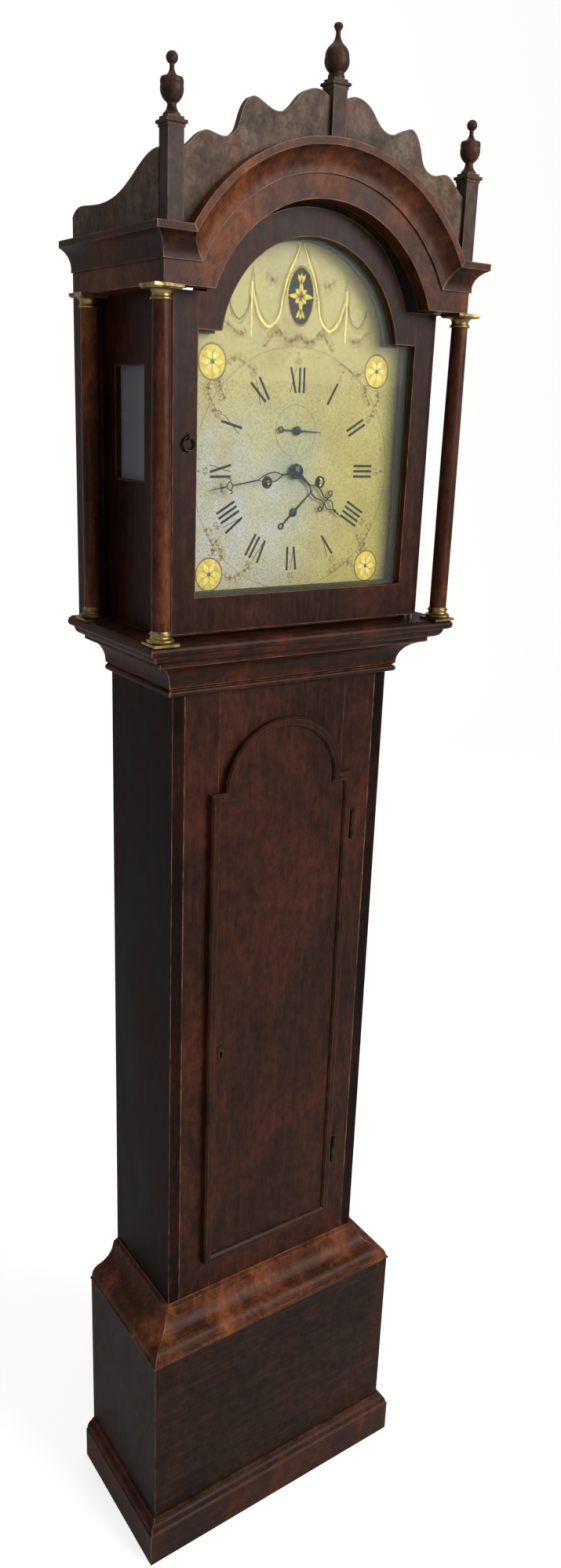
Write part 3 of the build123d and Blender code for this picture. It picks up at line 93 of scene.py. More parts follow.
def noise(tree, vector, scale, detail=4.0, distortion=0.0, roughness=0.55):
    node = addNode(tree, "ShaderNodeTexNoise")
    for key, value in (("Scale", scale), ("Detail", detail), ("Distortion", distortion), ("Roughness", roughness)):
        node.inputs[key].default_value = value
    tree.links.new(vector, node.inputs["Vector"])
    return node.outputs["Fac"]


def product(tree, first, second):                   # two values multiplied; a number goes on the second socket
    node = addNode(tree, "ShaderNodeMath", operation="MULTIPLY")
    tree.links.new(first, node.inputs[0])
    if hasattr(second, "links"):
        tree.links.new(second, node.inputs[1])
    else:
        node.inputs[1].default_value = second
    return node.outputs[0]


def spread(tree, source, start, end, low, high, **settings):                 # start..end mapped to low..high
    node = addNode(tree, "ShaderNodeMapRange", **settings)
    for index, value in enumerate((start, end, low, high), 1):
        node.inputs[index].default_value = value
    tree.links.new(source, node.inputs[0])
    return node.outputs[0]


def stretched(tree, scale=(1, 1, 1), shift=(0, 0, 0)):        # object coordinates, squeezed along the grain
    place = addNode(tree, "ShaderNodeTexCoord")
    mapping = addNode(tree, "ShaderNodeMapping")
    mapping.inputs["Scale"].default_value = scale
    mapping.inputs["Location"].default_value = shift
    tree.links.new(place.outputs["Object"], mapping.inputs["Vector"])
    return mapping.outputs["Vector"]


def newGroup(name, inputs, outputs):
    group = bpy.data.node_groups.new(name, "ShaderNodeTree")
    for label, kind in inputs:
        group.interface.new_socket(name=label, in_out="INPUT", socket_type=kind)
    for label, kind in outputs:
        group.interface.new_socket(name=label, in_out="OUTPUT", socket_type=kind)
    return group, addNode(group, "NodeGroupInput"), addNode(group, "NodeGroupOutput")


# Each layer: how the coordinates are squeezed (None follows the grain), scale, detail, distortion, roughness
grainLayers = {
    "Streak": (None, 5.0, 8.0, 0.35, 0.66),
    "Pore": (None, 34.0, 3.0, 0.1, 0.66),
    "Patch": ((9, 9, 5), 1.0, 6.0, 0.8, 0.62),
    "Fleck": ((90, 90, 60), 1.0, 5.0, 0.3, 0.7),
}
edgeLook = {"flat": 0.985, "sharp": 0.86, "breakScale": 38.0, "breakLow": 0.38, "breakHigh": 0.62, "least": 0.15}


def makeGrainGroup():                               # long pores, soft figure, broad patches and flecks of a board
    group, start, end = newGroup("woodGrain", [("Vector", "NodeSocketVector")],
                                 [(label, "NodeSocketFloat") for label in ("Streak", "Patch", "Pore", "Fleck")])
    for label, (squeeze, *settings) in grainLayers.items():
        vector = stretched(group, squeeze) if squeeze else start.outputs["Vector"]
        group.links.new(noise(group, vector, *settings), end.inputs[label])
    return group


# Rubbed-edge wear and painted highlight: a mask that puts a lighter colour on every sharp arris
def makeEdgeGroup():                                # 1 on sharp arrises, broken up by a noise, 0 elsewhere
    group, start, end = newGroup("edgeWearHighlight", [("Radius", "NodeSocketFloat")], [("Mask", "NodeSocketFloat")])
    bevel = addNode(group, "ShaderNodeBevel", samples=6)
    group.links.new(start.outputs["Radius"], bevel.inputs["Radius"])
    geometry = addNode(group, "ShaderNodeNewGeometry")
    dot = addNode(group, "ShaderNodeVectorMath", operation="DOT_PRODUCT")
    group.links.new(bevel.outputs["Normal"], dot.inputs[0])
    group.links.new(geometry.outputs["True Normal"], dot.inputs[1])
    look = edgeLook
    arris = spread(group, dot.outputs["Value"], look["flat"], look["sharp"], 0.0, 1.0)
    patches = noise(group, stretched(group), look["breakScale"], 4.0)
    broken = spread(group, patches, look["breakLow"], look["breakHigh"], look["least"], 1.0)
    group.links.new(product(group, arris, broken), end.inputs["Mask"])
    return group


grainGroup = makeGrainGroup()
edgeWearHighlightGroup = makeEdgeGroup()


def newMaterial(name, roughness=0.5, metallic=0.0):
    material = bpy.data.materials.new(name)
    material.use_nodes = True
    tree = material.node_tree
    shader = tree.nodes["Principled BSDF"]
    shader.inputs["Roughness"].default_value = roughness
    shader.inputs["Metallic"].default_value = metallic
    return material, tree, shader


def bumpInto(tree, shader, height, strength, distance):
    bump = addNode(tree, "ShaderNodeBump")
    bump.inputs["Strength"].default_value = strength
    bump.inputs["Distance"].default_value = distance
    tree.links.new(height, bump.inputs["Height"])
    tree.links.new(bump.outputs["Normal"], shader.inputs["Normal"])


# Wood. Grain: how much each axis is squeezed, small along the boards.
grainUp = (26.0, 26.0, 2.2)
grainAcross = (2.2, 26.0, 26.0)
grainBurr = (14.0, 14.0, 14.0)
grainSoft = (7.0, 7.0, 7.0)
grainTurned = (12.0, 12.0, 6.0)
woodLook = {
    "dark": (26, 11, 6),
    "middle": (50, 24, 15),
    "light": (76, 40, 24),
    "glow": (108, 52, 28),
    # the arris colour: rubbed wear together with a painted edge highlight
    "wornEdgeHighlight": (158, 116, 84),
    "polish": 0.36,
    "dulled": 0.18,
    "shine": 0.14,
    "pores": 0.45,
    "grime": 0.7,
    "shade": 0.8,
}


def makeWood(name, grain, glow=0.35, wearAndHighlight=0.8, look=None, shift=(0, 0, 0), edgeWidth=0.0024):
    look = {**woodLook, **(look or {})}
    material, tree, shader = newMaterial(name)
    figure = addNode(tree, "ShaderNodeGroup", node_tree=grainGroup)
    tree.links.new(stretched(tree, grain, shift), figure.inputs["Vector"])
    streak, patch, pore, fleck = (figure.outputs[label] for label in ("Streak", "Patch", "Pore", "Fleck"))
    stops = zip((0.20, 0.50, 0.86), ("dark", "middle", "light"))
    base = ramp(tree, streak, [(position, linear(*look[tone])) for position, tone in stops])
    warm = ramp(tree, patch, [(0.48, grey(0)), (0.66, grey(glow))])
    colored = mixColor(tree, warm, base, linear(*look["glow"]))
    pores = ramp(tree, pore, [(0.36, grey(0.45)), (0.52, grey(1))])
    grime = ramp(tree, fleck, [(0.38, (0.42, 0.38, 0.36, 1)), (0.60, (1.16, 1.12, 1.08, 1))])
    shade = ramp(tree, patch, [(0.30, (0.55, 0.52, 0.52, 1)), (0.50, grey(1))])
    for amount, layer in ((look["pores"], pores), (look["grime"], grime), (look["shade"], shade)):
        colored = mixColor(tree, amount, colored, layer, "MULTIPLY")
    # Sharp arrises take the lighter colour: partly real rubbed wear, partly a painted highlight along the edges
    edge = addNode(tree, "ShaderNodeGroup", node_tree=edgeWearHighlightGroup)
    edge.inputs["Radius"].default_value = edgeWidth
    colored = mixColor(tree, product(tree, edge.outputs["Mask"], wearAndHighlight), colored, linear(*look["wornEdgeHighlight"]))
    tree.links.new(colored, shader.inputs["Base Color"])
    polish = look["polish"]
    dull = ramp(tree, patch, [(0.3, grey(polish)), (0.75, grey(polish + look["dulled"]))])
    tree.links.new(dull, shader.inputs["Roughness"])
    shader.inputs["Specular IOR Level"].default_value = look["shine"]
    bumpInto(tree, shader, pore, 0.22, 0.0004)
    return material


# Metals and glass

def makeMetal(name, bright, deep, roughness=0.32, scale=60.0, metallic=1.0, bump=0.15):
    material, tree, shader = newMaterial(name, roughness, metallic)
    tarnish = noise(tree, stretched(tree), scale, 6.0, 0.3)
    color = ramp(tree, tarnish, [(0.35, linear(*deep)), (0.60, linear(*bright))])
    tree.links.new(color, shader.inputs["Base Color"])
    rough = ramp(tree, tarnish, [(0.3, grey(roughness + 0.16)), (0.7, grey(roughness - 0.06))])
    tree.links.new(rough, shader.inputs["Roughness"])
    bumpInto(tree, shader, tarnish, bump, 0.0003)
    return material


def makeGlass(name, tint, alpha, roughness=0.03):
    material, tree, shader = newMaterial(name, roughness)
    shader.inputs["Base Color"].default_value = linear(*tint)
    waves = noise(tree, stretched(tree), 9.0, 2.0)
    veil = ramp(tree, waves, [(0.3, grey(alpha * 0.8)), (0.7, grey(alpha * 1.2))])
    tree.links.new(veil, shader.inputs["Alpha"])
    bumpInto(tree, shader, waves, 0.05, 0.0006)
    return material


# Painted dial: cream enamel, yellowed to the right, bloomed cool grey at the lower left, finely crazed
dialPaint = {
    "cream": (191, 179, 88),
    "amber": (173, 156, 66),
    "bloom": (194, 197, 192),
    "stain": (158, 158, 122),
    "cool": (158, 170, 140),
    "craze": (112, 104, 70),
    "bloomCentre": (-0.100, 0.0, 1.560),
    "bloomReach": 0.20,
    "streakCentre": (0.0, 0.0, 1.62),
    "streakReach": 0.055,
    "crazeScale": 260.0,
    "speckleScale": 380.0,
    "speckle": 0.8,
}


def falloff(tree, centre, reach, squeeze=(1, 0, 1)):    # 1 at the centre, 0 at the reach, on object coordinates
    away = addNode(tree, "ShaderNodeVectorMath", operation="DISTANCE")
    tree.links.new(stretched(tree, squeeze), away.inputs[0])
    away.inputs[1].default_value = tuple(a * b for a, b in zip(centre, squeeze))
    return spread(tree, away.outputs["Value"], reach, reach * 0.15, 0.0, 1.0, interpolation_type="SMOOTHSTEP")


def makeDialPaint():
    look = dialPaint
    material, tree, shader = newMaterial("agedDialPaint", 0.42)
    plain = stretched(tree)
    clouds = noise(tree, plain, 14.0, 5.0, 0.5)
    colored = ramp(tree, clouds, [(0.32, linear(*look["amber"])), (0.58, linear(*look["cream"]))])
    bloom = falloff(tree, look["bloomCentre"], look["bloomReach"])
    patchy = ramp(tree, noise(tree, plain, 22.0, 5.0), [(0.30, grey(0.25)), (0.62, grey(1))])
    colored = mixColor(tree, product(tree, bloom, patchy), colored, linear(*look["bloom"]))
    streak = falloff(tree, look["streakCentre"], look["streakReach"], (1, 0, 0.45))
    mottled = ramp(tree, noise(tree, plain, 30.0, 6.0), [(0.40, grey(0.1)), (0.60, grey(0.9))])
    colored = mixColor(tree, product(tree, streak, mottled), colored, linear(*look["cool"]))
    smudge = ramp(tree, noise(tree, stretched(tree, shift=(3, 1, 7)), 9.0, 4.0, 1.0),
                  [(0.56, grey(0)), (0.72, grey(0.55))])
    colored = mixColor(tree, smudge, colored, linear(*look["stain"]))
    crackle = addNode(tree, "ShaderNodeTexVoronoi", feature="DISTANCE_TO_EDGE")
    crackle.inputs["Scale"].default_value = look["crazeScale"]
    tree.links.new(plain, crackle.inputs["Vector"])
    cracks = ramp(tree, crackle.outputs["Distance"], [(0.0, grey(0.40)), (0.06, grey(0))])
    colored = mixColor(tree, cracks, colored, linear(*look["craze"]))
    speckle = ramp(tree, noise(tree, plain, look["speckleScale"], 3.0), [(0.36, grey(0.66)), (0.58, grey(1))])
    colored = mixColor(tree, look["speckle"], colored, speckle, "MULTIPLY")
    tree.links.new(colored, shader.inputs["Base Color"])
    bumpInto(tree, shader, crackle.outputs["Distance"], 0.12, 0.0002)
    return material


def makePaint(name, color, second, scale, roughness=0.5):                    # thin hand-painted line work
    material, tree, shader = newMaterial(name, roughness)
    shader.inputs["Specular IOR Level"].default_value = 0.12
    patches = noise(tree, stretched(tree), scale, 4.0)
    mottle = ramp(tree, patches, [(0.38, linear(*second)), (0.60, linear(*color))])
    tree.links.new(mottle, shader.inputs["Base Color"])
    bumpInto(tree, shader, patches, 0.2, 0.0001)
    return material


greyer = {"dark": (52, 43, 37), "middle": (96, 80, 69), "light": (134, 115, 100), "glow": (118, 80, 58),
          "wornEdgeHighlight": (168, 142, 118), "polish": 0.5}
duller = {"dark": (24, 13, 9), "middle": (46, 29, 22), "light": (68, 46, 36), "glow": (90, 50, 32),
          "shine": 0.09}
richer = {"dark": (40, 17, 9), "middle": (80, 42, 24), "light": (116, 66, 36), "glow": (160, 92, 50)}
# A near-black copy of the mahogany for the trunk's sides: painted shade for the sides turned away from the lamps
shadedSideLook = {"dark": (10, 4, 3), "middle": (24, 10, 6), "light": (42, 20, 12), "glow": (72, 34, 20),
             "shine": 0.07}
smoky = {"middle": (66, 48, 42), "light": (96, 78, 70)}
oak = {"dark": (64, 44, 28), "middle": (104, 78, 52), "light": (140, 112, 78), "glow": (150, 118, 80),
       "polish": 0.6}
olive = {"dark": (28, 24, 14), "middle": (54, 46, 28), "light": (84, 70, 38), "glow": (128, 96, 44),
         "polish": 0.6}
materials = {
    "boards": makeWood("mahoganyUpright", grainUp),
    "door": makeWood("mahoganyDoor", grainUp, 0.25, 0.5, shift=(4, 2, 1)),
    # painted shade: the trunk's sides in the near-black copy of the mahogany
    "shadedFlank": makeWood("mahoganyShadedFlank", grainUp, 0.3, 0.8, shadedSideLook),
    "base": makeWood("mahoganyBase", grainAcross, 0.2, 0.6, duller),
    "rails": makeWood("mahoganyAcross", grainAcross, 0.5, 0.8),
    "cove": makeWood("mahoganyCove", grainAcross, 0.7, 0.9, richer),
    "arch": makeWood("mahoganyArch", grainBurr, 0.45, 0.9, richer),
    "crest": makeWood("mahoganyWeathered", grainSoft, 0.4, 0.7, greyer),
    "column": makeWood("mahoganyTurned", grainUp, 0.6, 0.4, richer, shift=(1, 5, 2)),
    "finial": makeWood("mahoganyFinial", grainTurned, 0.3, 0.5, smoky),
    "carcass": makeWood("oakCarcass", grainUp, 0.3, 0.3, oak),
    "mask": makeWood("oliveMask", grainUp, 0.3, 0.4, olive),
    "brass": makeMetal("agedBrass", (176, 152, 98), (78, 64, 38), 0.34),
    "darkBrass": makeMetal("darkBrass", (64, 52, 34), (26, 22, 16), 0.42),
    "movement": makeMetal("clockBrass", (196, 158, 92), (140, 106, 56), 0.34),
    "bell": makeMetal("bellMetal", (190, 158, 108), (140, 112, 70), 0.26),
    "steel": makeMetal("greySteel", (150, 150, 152), (84, 82, 80), 0.36),
    "blued": makeMetal("bluedSteel", (40, 46, 56), (20, 22, 28), 0.30),
    "iron": makeMetal("castIron", (52, 50, 48), (26, 24, 23), 0.62, 120.0, 0.6, 0.6),
    "gut": makePaint("gutLine", (168, 138, 92), (120, 92, 58), 900.0),
    "glass": makeGlass("doorGlass", (214, 222, 206), 0.042),
    # Side panes: a mostly opaque grey sheet, a painted reflection of the light in the glass
    "sideGlassGreyReflection": makeGlass("sideGlassGreyReflection", (150, 156, 158), 0.62, 0.2),
    "dial": makeDialPaint(),
    "ink": makePaint("numeralBlack", (16, 12, 8), (34, 27, 18), 300.0),
    "gilt": makePaint("giltPaint", (238, 214, 88), (208, 180, 72), 200.0),
    "paleGilt": makePaint("paleGiltPaint", (250, 238, 138), (232, 212, 108), 160.0),
    "umber": makePaint("umberLine", (104, 82, 46), (140, 118, 70), 220.0),
    "ochre": makePaint("ochreEdge", (166, 138, 58), (136, 112, 50), 220.0),
    "rose": makePaint("faintFlowers", (140, 100, 68), (172, 138, 84), 220.0),
    "badge": makePaint("badgeGround", (30, 21, 10), (18, 12, 6), 120.0, 0.75),
}
finishes = {
    "boards": ["trunk_front_frame", "hood_sides", "hood_door_frame"],
    # the trunk's sides take the painted-shade copy
    "shadedFlank": ["trunk_sides"],
    "door": ["trunk_door_panel", "trunk_door_bead"],
    "base": ["base_panels"],
    "rails": ["base_skirting", "throat_moulding", "hood_sill", "hood_cornice"],
    "cove": ["base_cove_moulding"],
    "arch": ["arch_moulding", "hood_frieze"],
    "crest": ["cresting"],
    "column": ["hood_columns"],
    "finial": ["finials", "finial_plinths"],
    "carcass": ["backboard", "seatboard", "hood_roof"],
    "mask": ["dial_mask"],
    "brass": ["column_brasses", "trunk_lock_bolt", "pendulum_bob"],
    "darkBrass": ["case_hinge_leaves", "trunk_door_hinge_leaves", "trunk_door_escutcheon", "hood_door_eye",
                  "hood_door_ring"],
    "movement": ["movement_frame", "centre_wheel", "third_wheel", "escape_wheel", "minute_wheel", "hour_wheel",
                 "going_great_wheel", "strike_great_wheel", "pin_wheel", "fly", "going_drum", "strike_drum"],
    "bell": ["bell"],
    "steel": ["trunk_door_lock", "hood_door_pivots", "movement_brackets", "pendulum_rod", "anchor", "hammer"],
    "blued": ["minute_hand", "hour_hand", "seconds_hand", "date_hand"],
    "iron": ["going_weight", "strike_weight"],
    "gut": ["going_line", "strike_line"],
    "glass": ["hood_door_pane"],
    # hood side panes: the painted grey reflection
    "sideGlassGreyReflection": ["hood_side_panes"],
    "dial": ["dial_plate"],
}
for finish, names in finishes.items():
    for name in names:
        mesh = nodes[name].data
        mesh.materials.clear()
        mesh.materials.append(materials[finish])
print("finishes on", sum(len(names) for names in finishes.values()), "pieces")


# Flat painted and pierced work: strips and ovals in the plane of the dial, given as (x, z) in millimetres
dialCentre = np.array([0.0, 1624.3])
secondsCentre = dialCentre + (0, 48.6)
dateCentre = dialCentre - (0, 50.3)
windingHoles = {"going_hole_ring": (40.3, 1611.0), "strike_hole_ring": (-40.3, 1611.0)}
datePost = 0.0016                                   # the plate's date post stands this far in front of the paint
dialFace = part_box("dial_plate")[0].y + datePost
# Each layer of paint: its material, how far it lies in front of the face, and its thickness, in hundredths of a mm
paintLayers = {
    "dial_numerals": ("ink", 6, 6),
    "dial_minute_ring": ("umber", 5, 5),
    "dial_minute_figures": ("umber", 5, 5),
    "dial_pale_gilding": ("paleGilt", 9, 6),
    "dial_umber_lines": ("umber", 6, 5),
    "dial_flowers": ("rose", 4, 4),
    "dial_ochre_lines": ("ochre", 7, 5),
    "dial_petals": ("paleGilt", 18, 4),
    "dial_petal_lines": ("umber", 22, 4),
    "dial_badge": ("badge", 7, 6),
    "dial_gilding": ("gilt", 14, 6),
}
smallestHole = 0.02                                 # an oval's inner edge, as a share of its outer one


def strip(points, widths):                          # a ribbon: each point pushed half a width to either side
    points = np.asarray(points, float)
    widths = np.broadcast_to(np.asarray(widths, float), (len(points),))
    tangent = np.gradient(points, axis=0)
    tangent /= np.maximum(np.linalg.norm(tangent, axis=1, keepdims=True), 1e-9)
    side = np.stack([-tangent[:, 1], tangent[:, 0]], 1) * widths[:, None] / 2
    count = np.arange(len(points) - 1)
    faces = np.stack([count, count + len(points), count + len(points) + 1, count + 1], 1)
    return np.concatenate([points + side, points - side]), faces


def oval(centre, halfWidth, halfHeight, inner=smallestHole, steps=40):       # from inner to 1 times the oval
    turn = np.linspace(0, 2 * np.pi, steps, endpoint=False)
    rim = np.stack([np.cos(turn) * halfWidth, np.sin(turn) * halfHeight], 1)
    index = np.arange(steps)
    after = (index + 1) % steps
    faces = np.stack([index, after, after + steps, index + steps], 1)
    return np.concatenate([rim + centre, rim * inner + centre]), faces


def curve(*points, steps=14):                       # a smooth curve through points: Catmull-Rom spans
    knots = np.asarray(points, float)
    knots = np.concatenate([[2 * knots[0] - knots[1]], knots, [2 * knots[-1] - knots[-2]]])
    t = np.linspace(0, 1, steps, endpoint=False)[:, None]
    spans = [0.5 * (2 * b + (c - a) * t + (2 * a - 5 * b + 4 * c - d) * t**2 + (3 * b - a - 3 * c + d) * t**3)
             for a, b, c, d in zip(knots[:-3], knots[1:-2], knots[2:-1], knots[3:])]
    return np.concatenate(spans + [knots[-2:-1]])


def turned(points, degreesClockwise, centre):       # drawn upright about the origin, then turned and moved
    angle = math.radians(degreesClockwise)
    spin = np.array([[math.cos(angle), -math.sin(angle)], [math.sin(angle), math.cos(angle)]])
    return np.asarray(points, float) @ spin + centre


def finished(name, mesh, material, body):
    piece = linked(name, mesh)
    mesh.materials.append(materials[material])
    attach(piece, body)
    return piece


def flatPiece(name, shapes, depth, thick, material, body):             # laid at one depth, then thickened
    corners, faces, offset = [], [], 0
    for points, polygons in shapes:
        corners.append(points)
        faces += [[int(index) + offset for index in polygon] for polygon in polygons]
        offset += len(points)
    flat = np.concatenate(corners) / 1000.0
    place = np.stack([flat[:, 0], np.full(len(flat), depth), flat[:, 1]], 1)
    mesh = bpy.data.meshes.new(name)
    mesh.from_pydata(place.tolist(), [], faces)
    piece = finished(name, mesh, material, body)
    solid = piece.modifiers.new("thickness", "SOLIDIFY")
    solid.thickness = thick
    solid.offset = 0.0
    return piece


def painted(name, shapes):
    material, depth, thick = paintLayers[name]
    flatPiece(name, shapes, dialFace - depth * 1e-5, thick * 1e-5, material, "case")


def lathe(name, profile, centre, material, body, steps=48):            # (radius, depth) swept round -Y
    profile = np.asarray(profile, float) / 1000.0
    turn = np.linspace(0, 2 * np.pi, steps, endpoint=False)
    x = centre[0] / 1000.0 + profile[:, 0:1] * np.cos(turn)
    z = centre[1] / 1000.0 + profile[:, 0:1] * np.sin(turn)
    y = dialFace - np.repeat(profile[:, 1:2], steps, axis=1)
    rows, columns = np.meshgrid(np.arange(len(profile) - 1), np.arange(steps), indexing="ij")
    after = (columns + 1) % steps
    near, far = rows * steps, (rows + 1) * steps
    quads = np.stack([near + columns, far + columns, far + after, near + after], -1).reshape(-1, 4)
    mesh = bpy.data.meshes.new(name)
    mesh.from_pydata(np.stack([x, y, z], -1).reshape(-1, 3).tolist(), [], quads.tolist())
    mesh.shade_smooth()
    finished(name, mesh, material, body)


# Numerals and minute ring
chapter = {"middle": 107.8, "height": 29.5, "thick": 3.1, "thin": 0.8, "pitch": 6.6, "lean": 0.62, "ring": 146.0,
           "dots": 138.5, "dot": 0.8, "fifthDot": 1.5, "figure": 10.5, "figures": 129.0}
romans = "I II III IIII V VI VII VIII IX X XI XII".split()
advance = {"I": 1.0, "V": 1.9, "X": 1.9}


def romanStrokes(text):                             # (x at foot, x at head, width) for each stroke, in pitches
    lean, thick, thin = chapter["lean"], chapter["thick"], chapter["thin"]
    cursor = -sum(advance[letter] for letter in text) / 2
    strokes = []
    for letter in text:
        middle = cursor + advance[letter] / 2
        if letter == "I":
            strokes.append((middle, middle, thick))
        elif letter == "V":
            strokes += [(middle, middle - lean, thick), (middle, middle + lean, thin)]
        else:
            strokes += [(middle + lean, middle - lean, thick), (middle - lean, middle + lean, thin)]
        cursor += advance[letter]
    return strokes


numerals = []
low, high = chapter["middle"] - chapter["height"] / 2, chapter["middle"] + chapter["height"] / 2
for number, text in enumerate(romans, 1):
    for foot, head, width in romanStrokes(text):
        ends = [(foot * chapter["pitch"], low), (head * chapter["pitch"], high)]
        numerals.append(strip(turned(ends, number * 30, dialCentre), width))
painted("dial_numerals", numerals)

minuteWork = [oval(dialCentre, chapter["ring"], chapter["ring"], 0.9965, 160)]
for minute in range(60):
    size = chapter["dot"] if minute % 5 else chapter["fifthDot"]
    spot = turned([(0, chapter["dots"])], minute * 6, dialCentre)[0]
    minuteWork.append(oval(spot, size, size, steps=8))
painted("dial_minute_ring", minuteWork)


def figureShape(text, angle):                       # plain figures from the built-in font, laid on the dial
    letters = bpy.data.curves.new("figures", "FONT")
    letters.body = text
    letters.size = chapter["figure"]
    letters.align_x = letters.align_y = "CENTER"
    letters.resolution_u = 3
    holder = bpy.data.objects.new("figures", letters)
    mesh = bpy.data.meshes.new_from_object(holder)
    flat = np.zeros(len(mesh.vertices) * 3)
    mesh.vertices.foreach_get("co", flat)
    polygons = [list(polygon.vertices) for polygon in mesh.polygons]
    bpy.data.objects.remove(holder)
    return turned(flat.reshape(-1, 3)[:, :2] + (0, chapter["figures"]), angle, dialCentre), polygons


painted("dial_minute_figures", [figureShape(str(minute), minute * 6) for minute in range(5, 65, 5)])
print("numerals and minute ring done")


# Corner medallions, sprigs, arch badge and drapery
flower, ink, gilt, pale, umber, rose, ochre = [], [], [], [], [], [], []
cornerOvals = [(x, z) for z in (1747.4, 1501.7) for x in (-121.8, 121.8)]
medallion = {"halfWidth": 17.2, "halfHeight": 18.6, "rim": 2.2, "petals": 6, "petal": 14.5, "petalWidth": 6.6,
             "eye": 2.6, "stem": 19, "leaves": 6}
badge = {"centre": (0.0, 1826.8), "halfWidth": 19.0, "halfHeight": 33.0, "beads": 34, "bead": 1.5}
drapery = {
    "fold": [(2.5, 1884), (9, 1868), (19, 1848), (25.5, 1826)],
    "swag": [(26, 1826), (30, 1804), (44, 1790.5), (58, 1801), (67, 1825)],
    "small": [(71, 1822), (76, 1806), (86, 1796), (95, 1803), (101, 1818)],
    "tassel": [(69, 1838), (69.5, 1812), (69, 1778)],
    "sprays": [((4.0, 1778.0), 74, 40, 1, 8), ((24.0, 1784.0), 112, 34, -1, 6), ((2.0, 1788.0), 150, 20, 1, 4),
               ((74.0, 1784.0), 84, 38, 1, 7), ((32.0, 1843.0), 82, 22, 1, 3)],
}


def petal(centre, angle, length, width):            # a leaf: width swells as a half sine along its length
    t = np.linspace(0, 1, 12)
    line = turned(np.stack([0 * t, t * length], 1), angle, centre)
    return strip(line, width * np.sin(np.pi * (0.04 + 0.92 * t)))


def spray(centre, heading, length, side, leaves):   # a curling stem with pairs of leaves
    t = np.linspace(0, 1, 40)
    bend = side * np.sin(t * 5.2) * length * 0.13
    line = turned(np.stack([bend, t * length], 1), heading, centre)
    umber.append(strip(line, 0.6))
    for index in range(leaves):
        at = line[3 + index * 36 // leaves]
        size = 1.0 - 0.45 * index / leaves
        turns = (-64, -22, 30, 70) if index % 3 else (-50, 60)
        for turn in turns:
            rose.append(petal(at, heading + turn + 14 * math.sin(index * 2.3), 5.6 * size, 1.5 * size))
        curl = turned([(0, 0), (3.4 * side, 3.6), (6.4 * side, 2.2), (5.2 * side, -0.8)], heading, at)
        ochre.append(strip(curve(*curl, steps=6), 0.7))
        if index % 2:
            rose.append(oval(at, 2.7 * size, 2.7 * size, 0.45, 12))


for x, z in cornerOvals:
    spot = np.array([x, z])
    halfWidth, halfHeight, rim = medallion["halfWidth"], medallion["halfHeight"], medallion["rim"]
    gilt.append(oval(spot, halfWidth, halfHeight, steps=36))
    umber.append(oval(spot, halfWidth + rim, halfHeight + rim, 0.93, 44))
    ink.append(oval(spot, medallion["eye"], medallion["eye"], steps=16))
    for index in range(medallion["petals"]):
        flower.append(petal(spot, index * 60 + 30, medallion["petal"], medallion["petalWidth"]))
        ink.append(strip(turned([(0, 2), (0, 11)], index * 60, spot), [0.9, 0.3]))
    inward, upward = -np.sign(x), np.sign(z - dialCentre[1])
    stems = ((90 * inward, 44, -upward), (90 - 90 * upward, 40, inward), (45 * inward * -upward, 30, 1))
    for heading, length, side in stems:
        angle = math.radians(heading)
        start = np.array([inward * abs(math.sin(angle)), -upward * abs(math.cos(angle))]) * medallion["stem"]
        towards = heading if abs(heading) == 90 else 90 + 90 * upward
        spray(spot + start, towards, length, side, medallion["leaves"])

badgeSpot = np.array(badge["centre"])
badgeSize = np.array([badge["halfWidth"], badge["halfHeight"]])
for index in range(badge["beads"]):
    turn = 2 * math.pi * index / badge["beads"]
    bead = badgeSpot + badgeSize * (math.cos(turn), math.sin(turn))
    pale.append(oval(bead, badge["bead"], badge["bead"], steps=10))
pale.append(oval(badgeSpot, badge["halfWidth"] + 1.0, badge["halfHeight"] + 1.2, 0.93, 60))
badgeMotif = [petal(badgeSpot, index * 45, 11.0 if index % 2 else 17.0, 6.0) for index in range(8)]
badgeMotif += [petal(badgeSpot + (0, sign * 14), 90 - sign * 90 + turn, 12.0, 4.0)
               for sign in (-1, 1) for turn in (-28, 0, 28)]

for side in (-1, 1):
    fold, swag, small, tassel = (np.array(drapery[key], float) * (side, 1)
                                 for key in ("fold", "swag", "small", "tassel"))
    for line, width in ((fold, 2.6), (swag, 3.2)):
        path = curve(*line)
        pale.append(strip(path, width * np.sin(np.pi * np.linspace(0.12, 0.88, len(path)))))
        ochre.append(strip(path + (side * 2.8, -1.8), 1.5))
        ochre.append(strip(path + (-side * 2.8, 2.4), 1.1))
        umber.append(strip(path + (side * 5.4, -3.6), 0.5))
    umber.append(strip(curve(*small), 1.6))
    umber.append(strip(curve(*(small - (0, 5))), 0.7))
    pale.append(strip(curve(*tassel), [2.2] * 28 + [0.6]))
    for peak in (-3.5, 3.5):
        hanging = curve((side * 69, 1852), (side * 69 + peak, 1832), (side * 69 + peak * 1.5, 1806))
        ochre.append(strip(hanging, 1.1))
    for (x, z), heading, length, bend, leaves in drapery["sprays"]:
        spray(np.array([side * x, z]), side * heading, length, side * bend, leaves)
umber.append(oval(secondsCentre, 30.5, 30.5, 0.985, 70))
painted("dial_pale_gilding", pale)
painted("dial_umber_lines", umber)
painted("dial_flowers", rose)
painted("dial_ochre_lines", ochre)
painted("dial_petals", flower)
painted("dial_petal_lines", ink)
painted("dial_badge", [oval(badgeSpot, *badgeSize, steps=48)])
painted("dial_gilding", gilt + badgeMotif)
for name, centre in windingHoles.items():
    ring = [(5.5, 0.0), (5.5, 0.9), (6.2, 1.3), (7.0, 1.0), (7.6, 0.3), (7.7, 0.0), (5.5, 0.0)]
    lathe(name, ring, centre, "darkBrass", "case")
print("dial painting done")


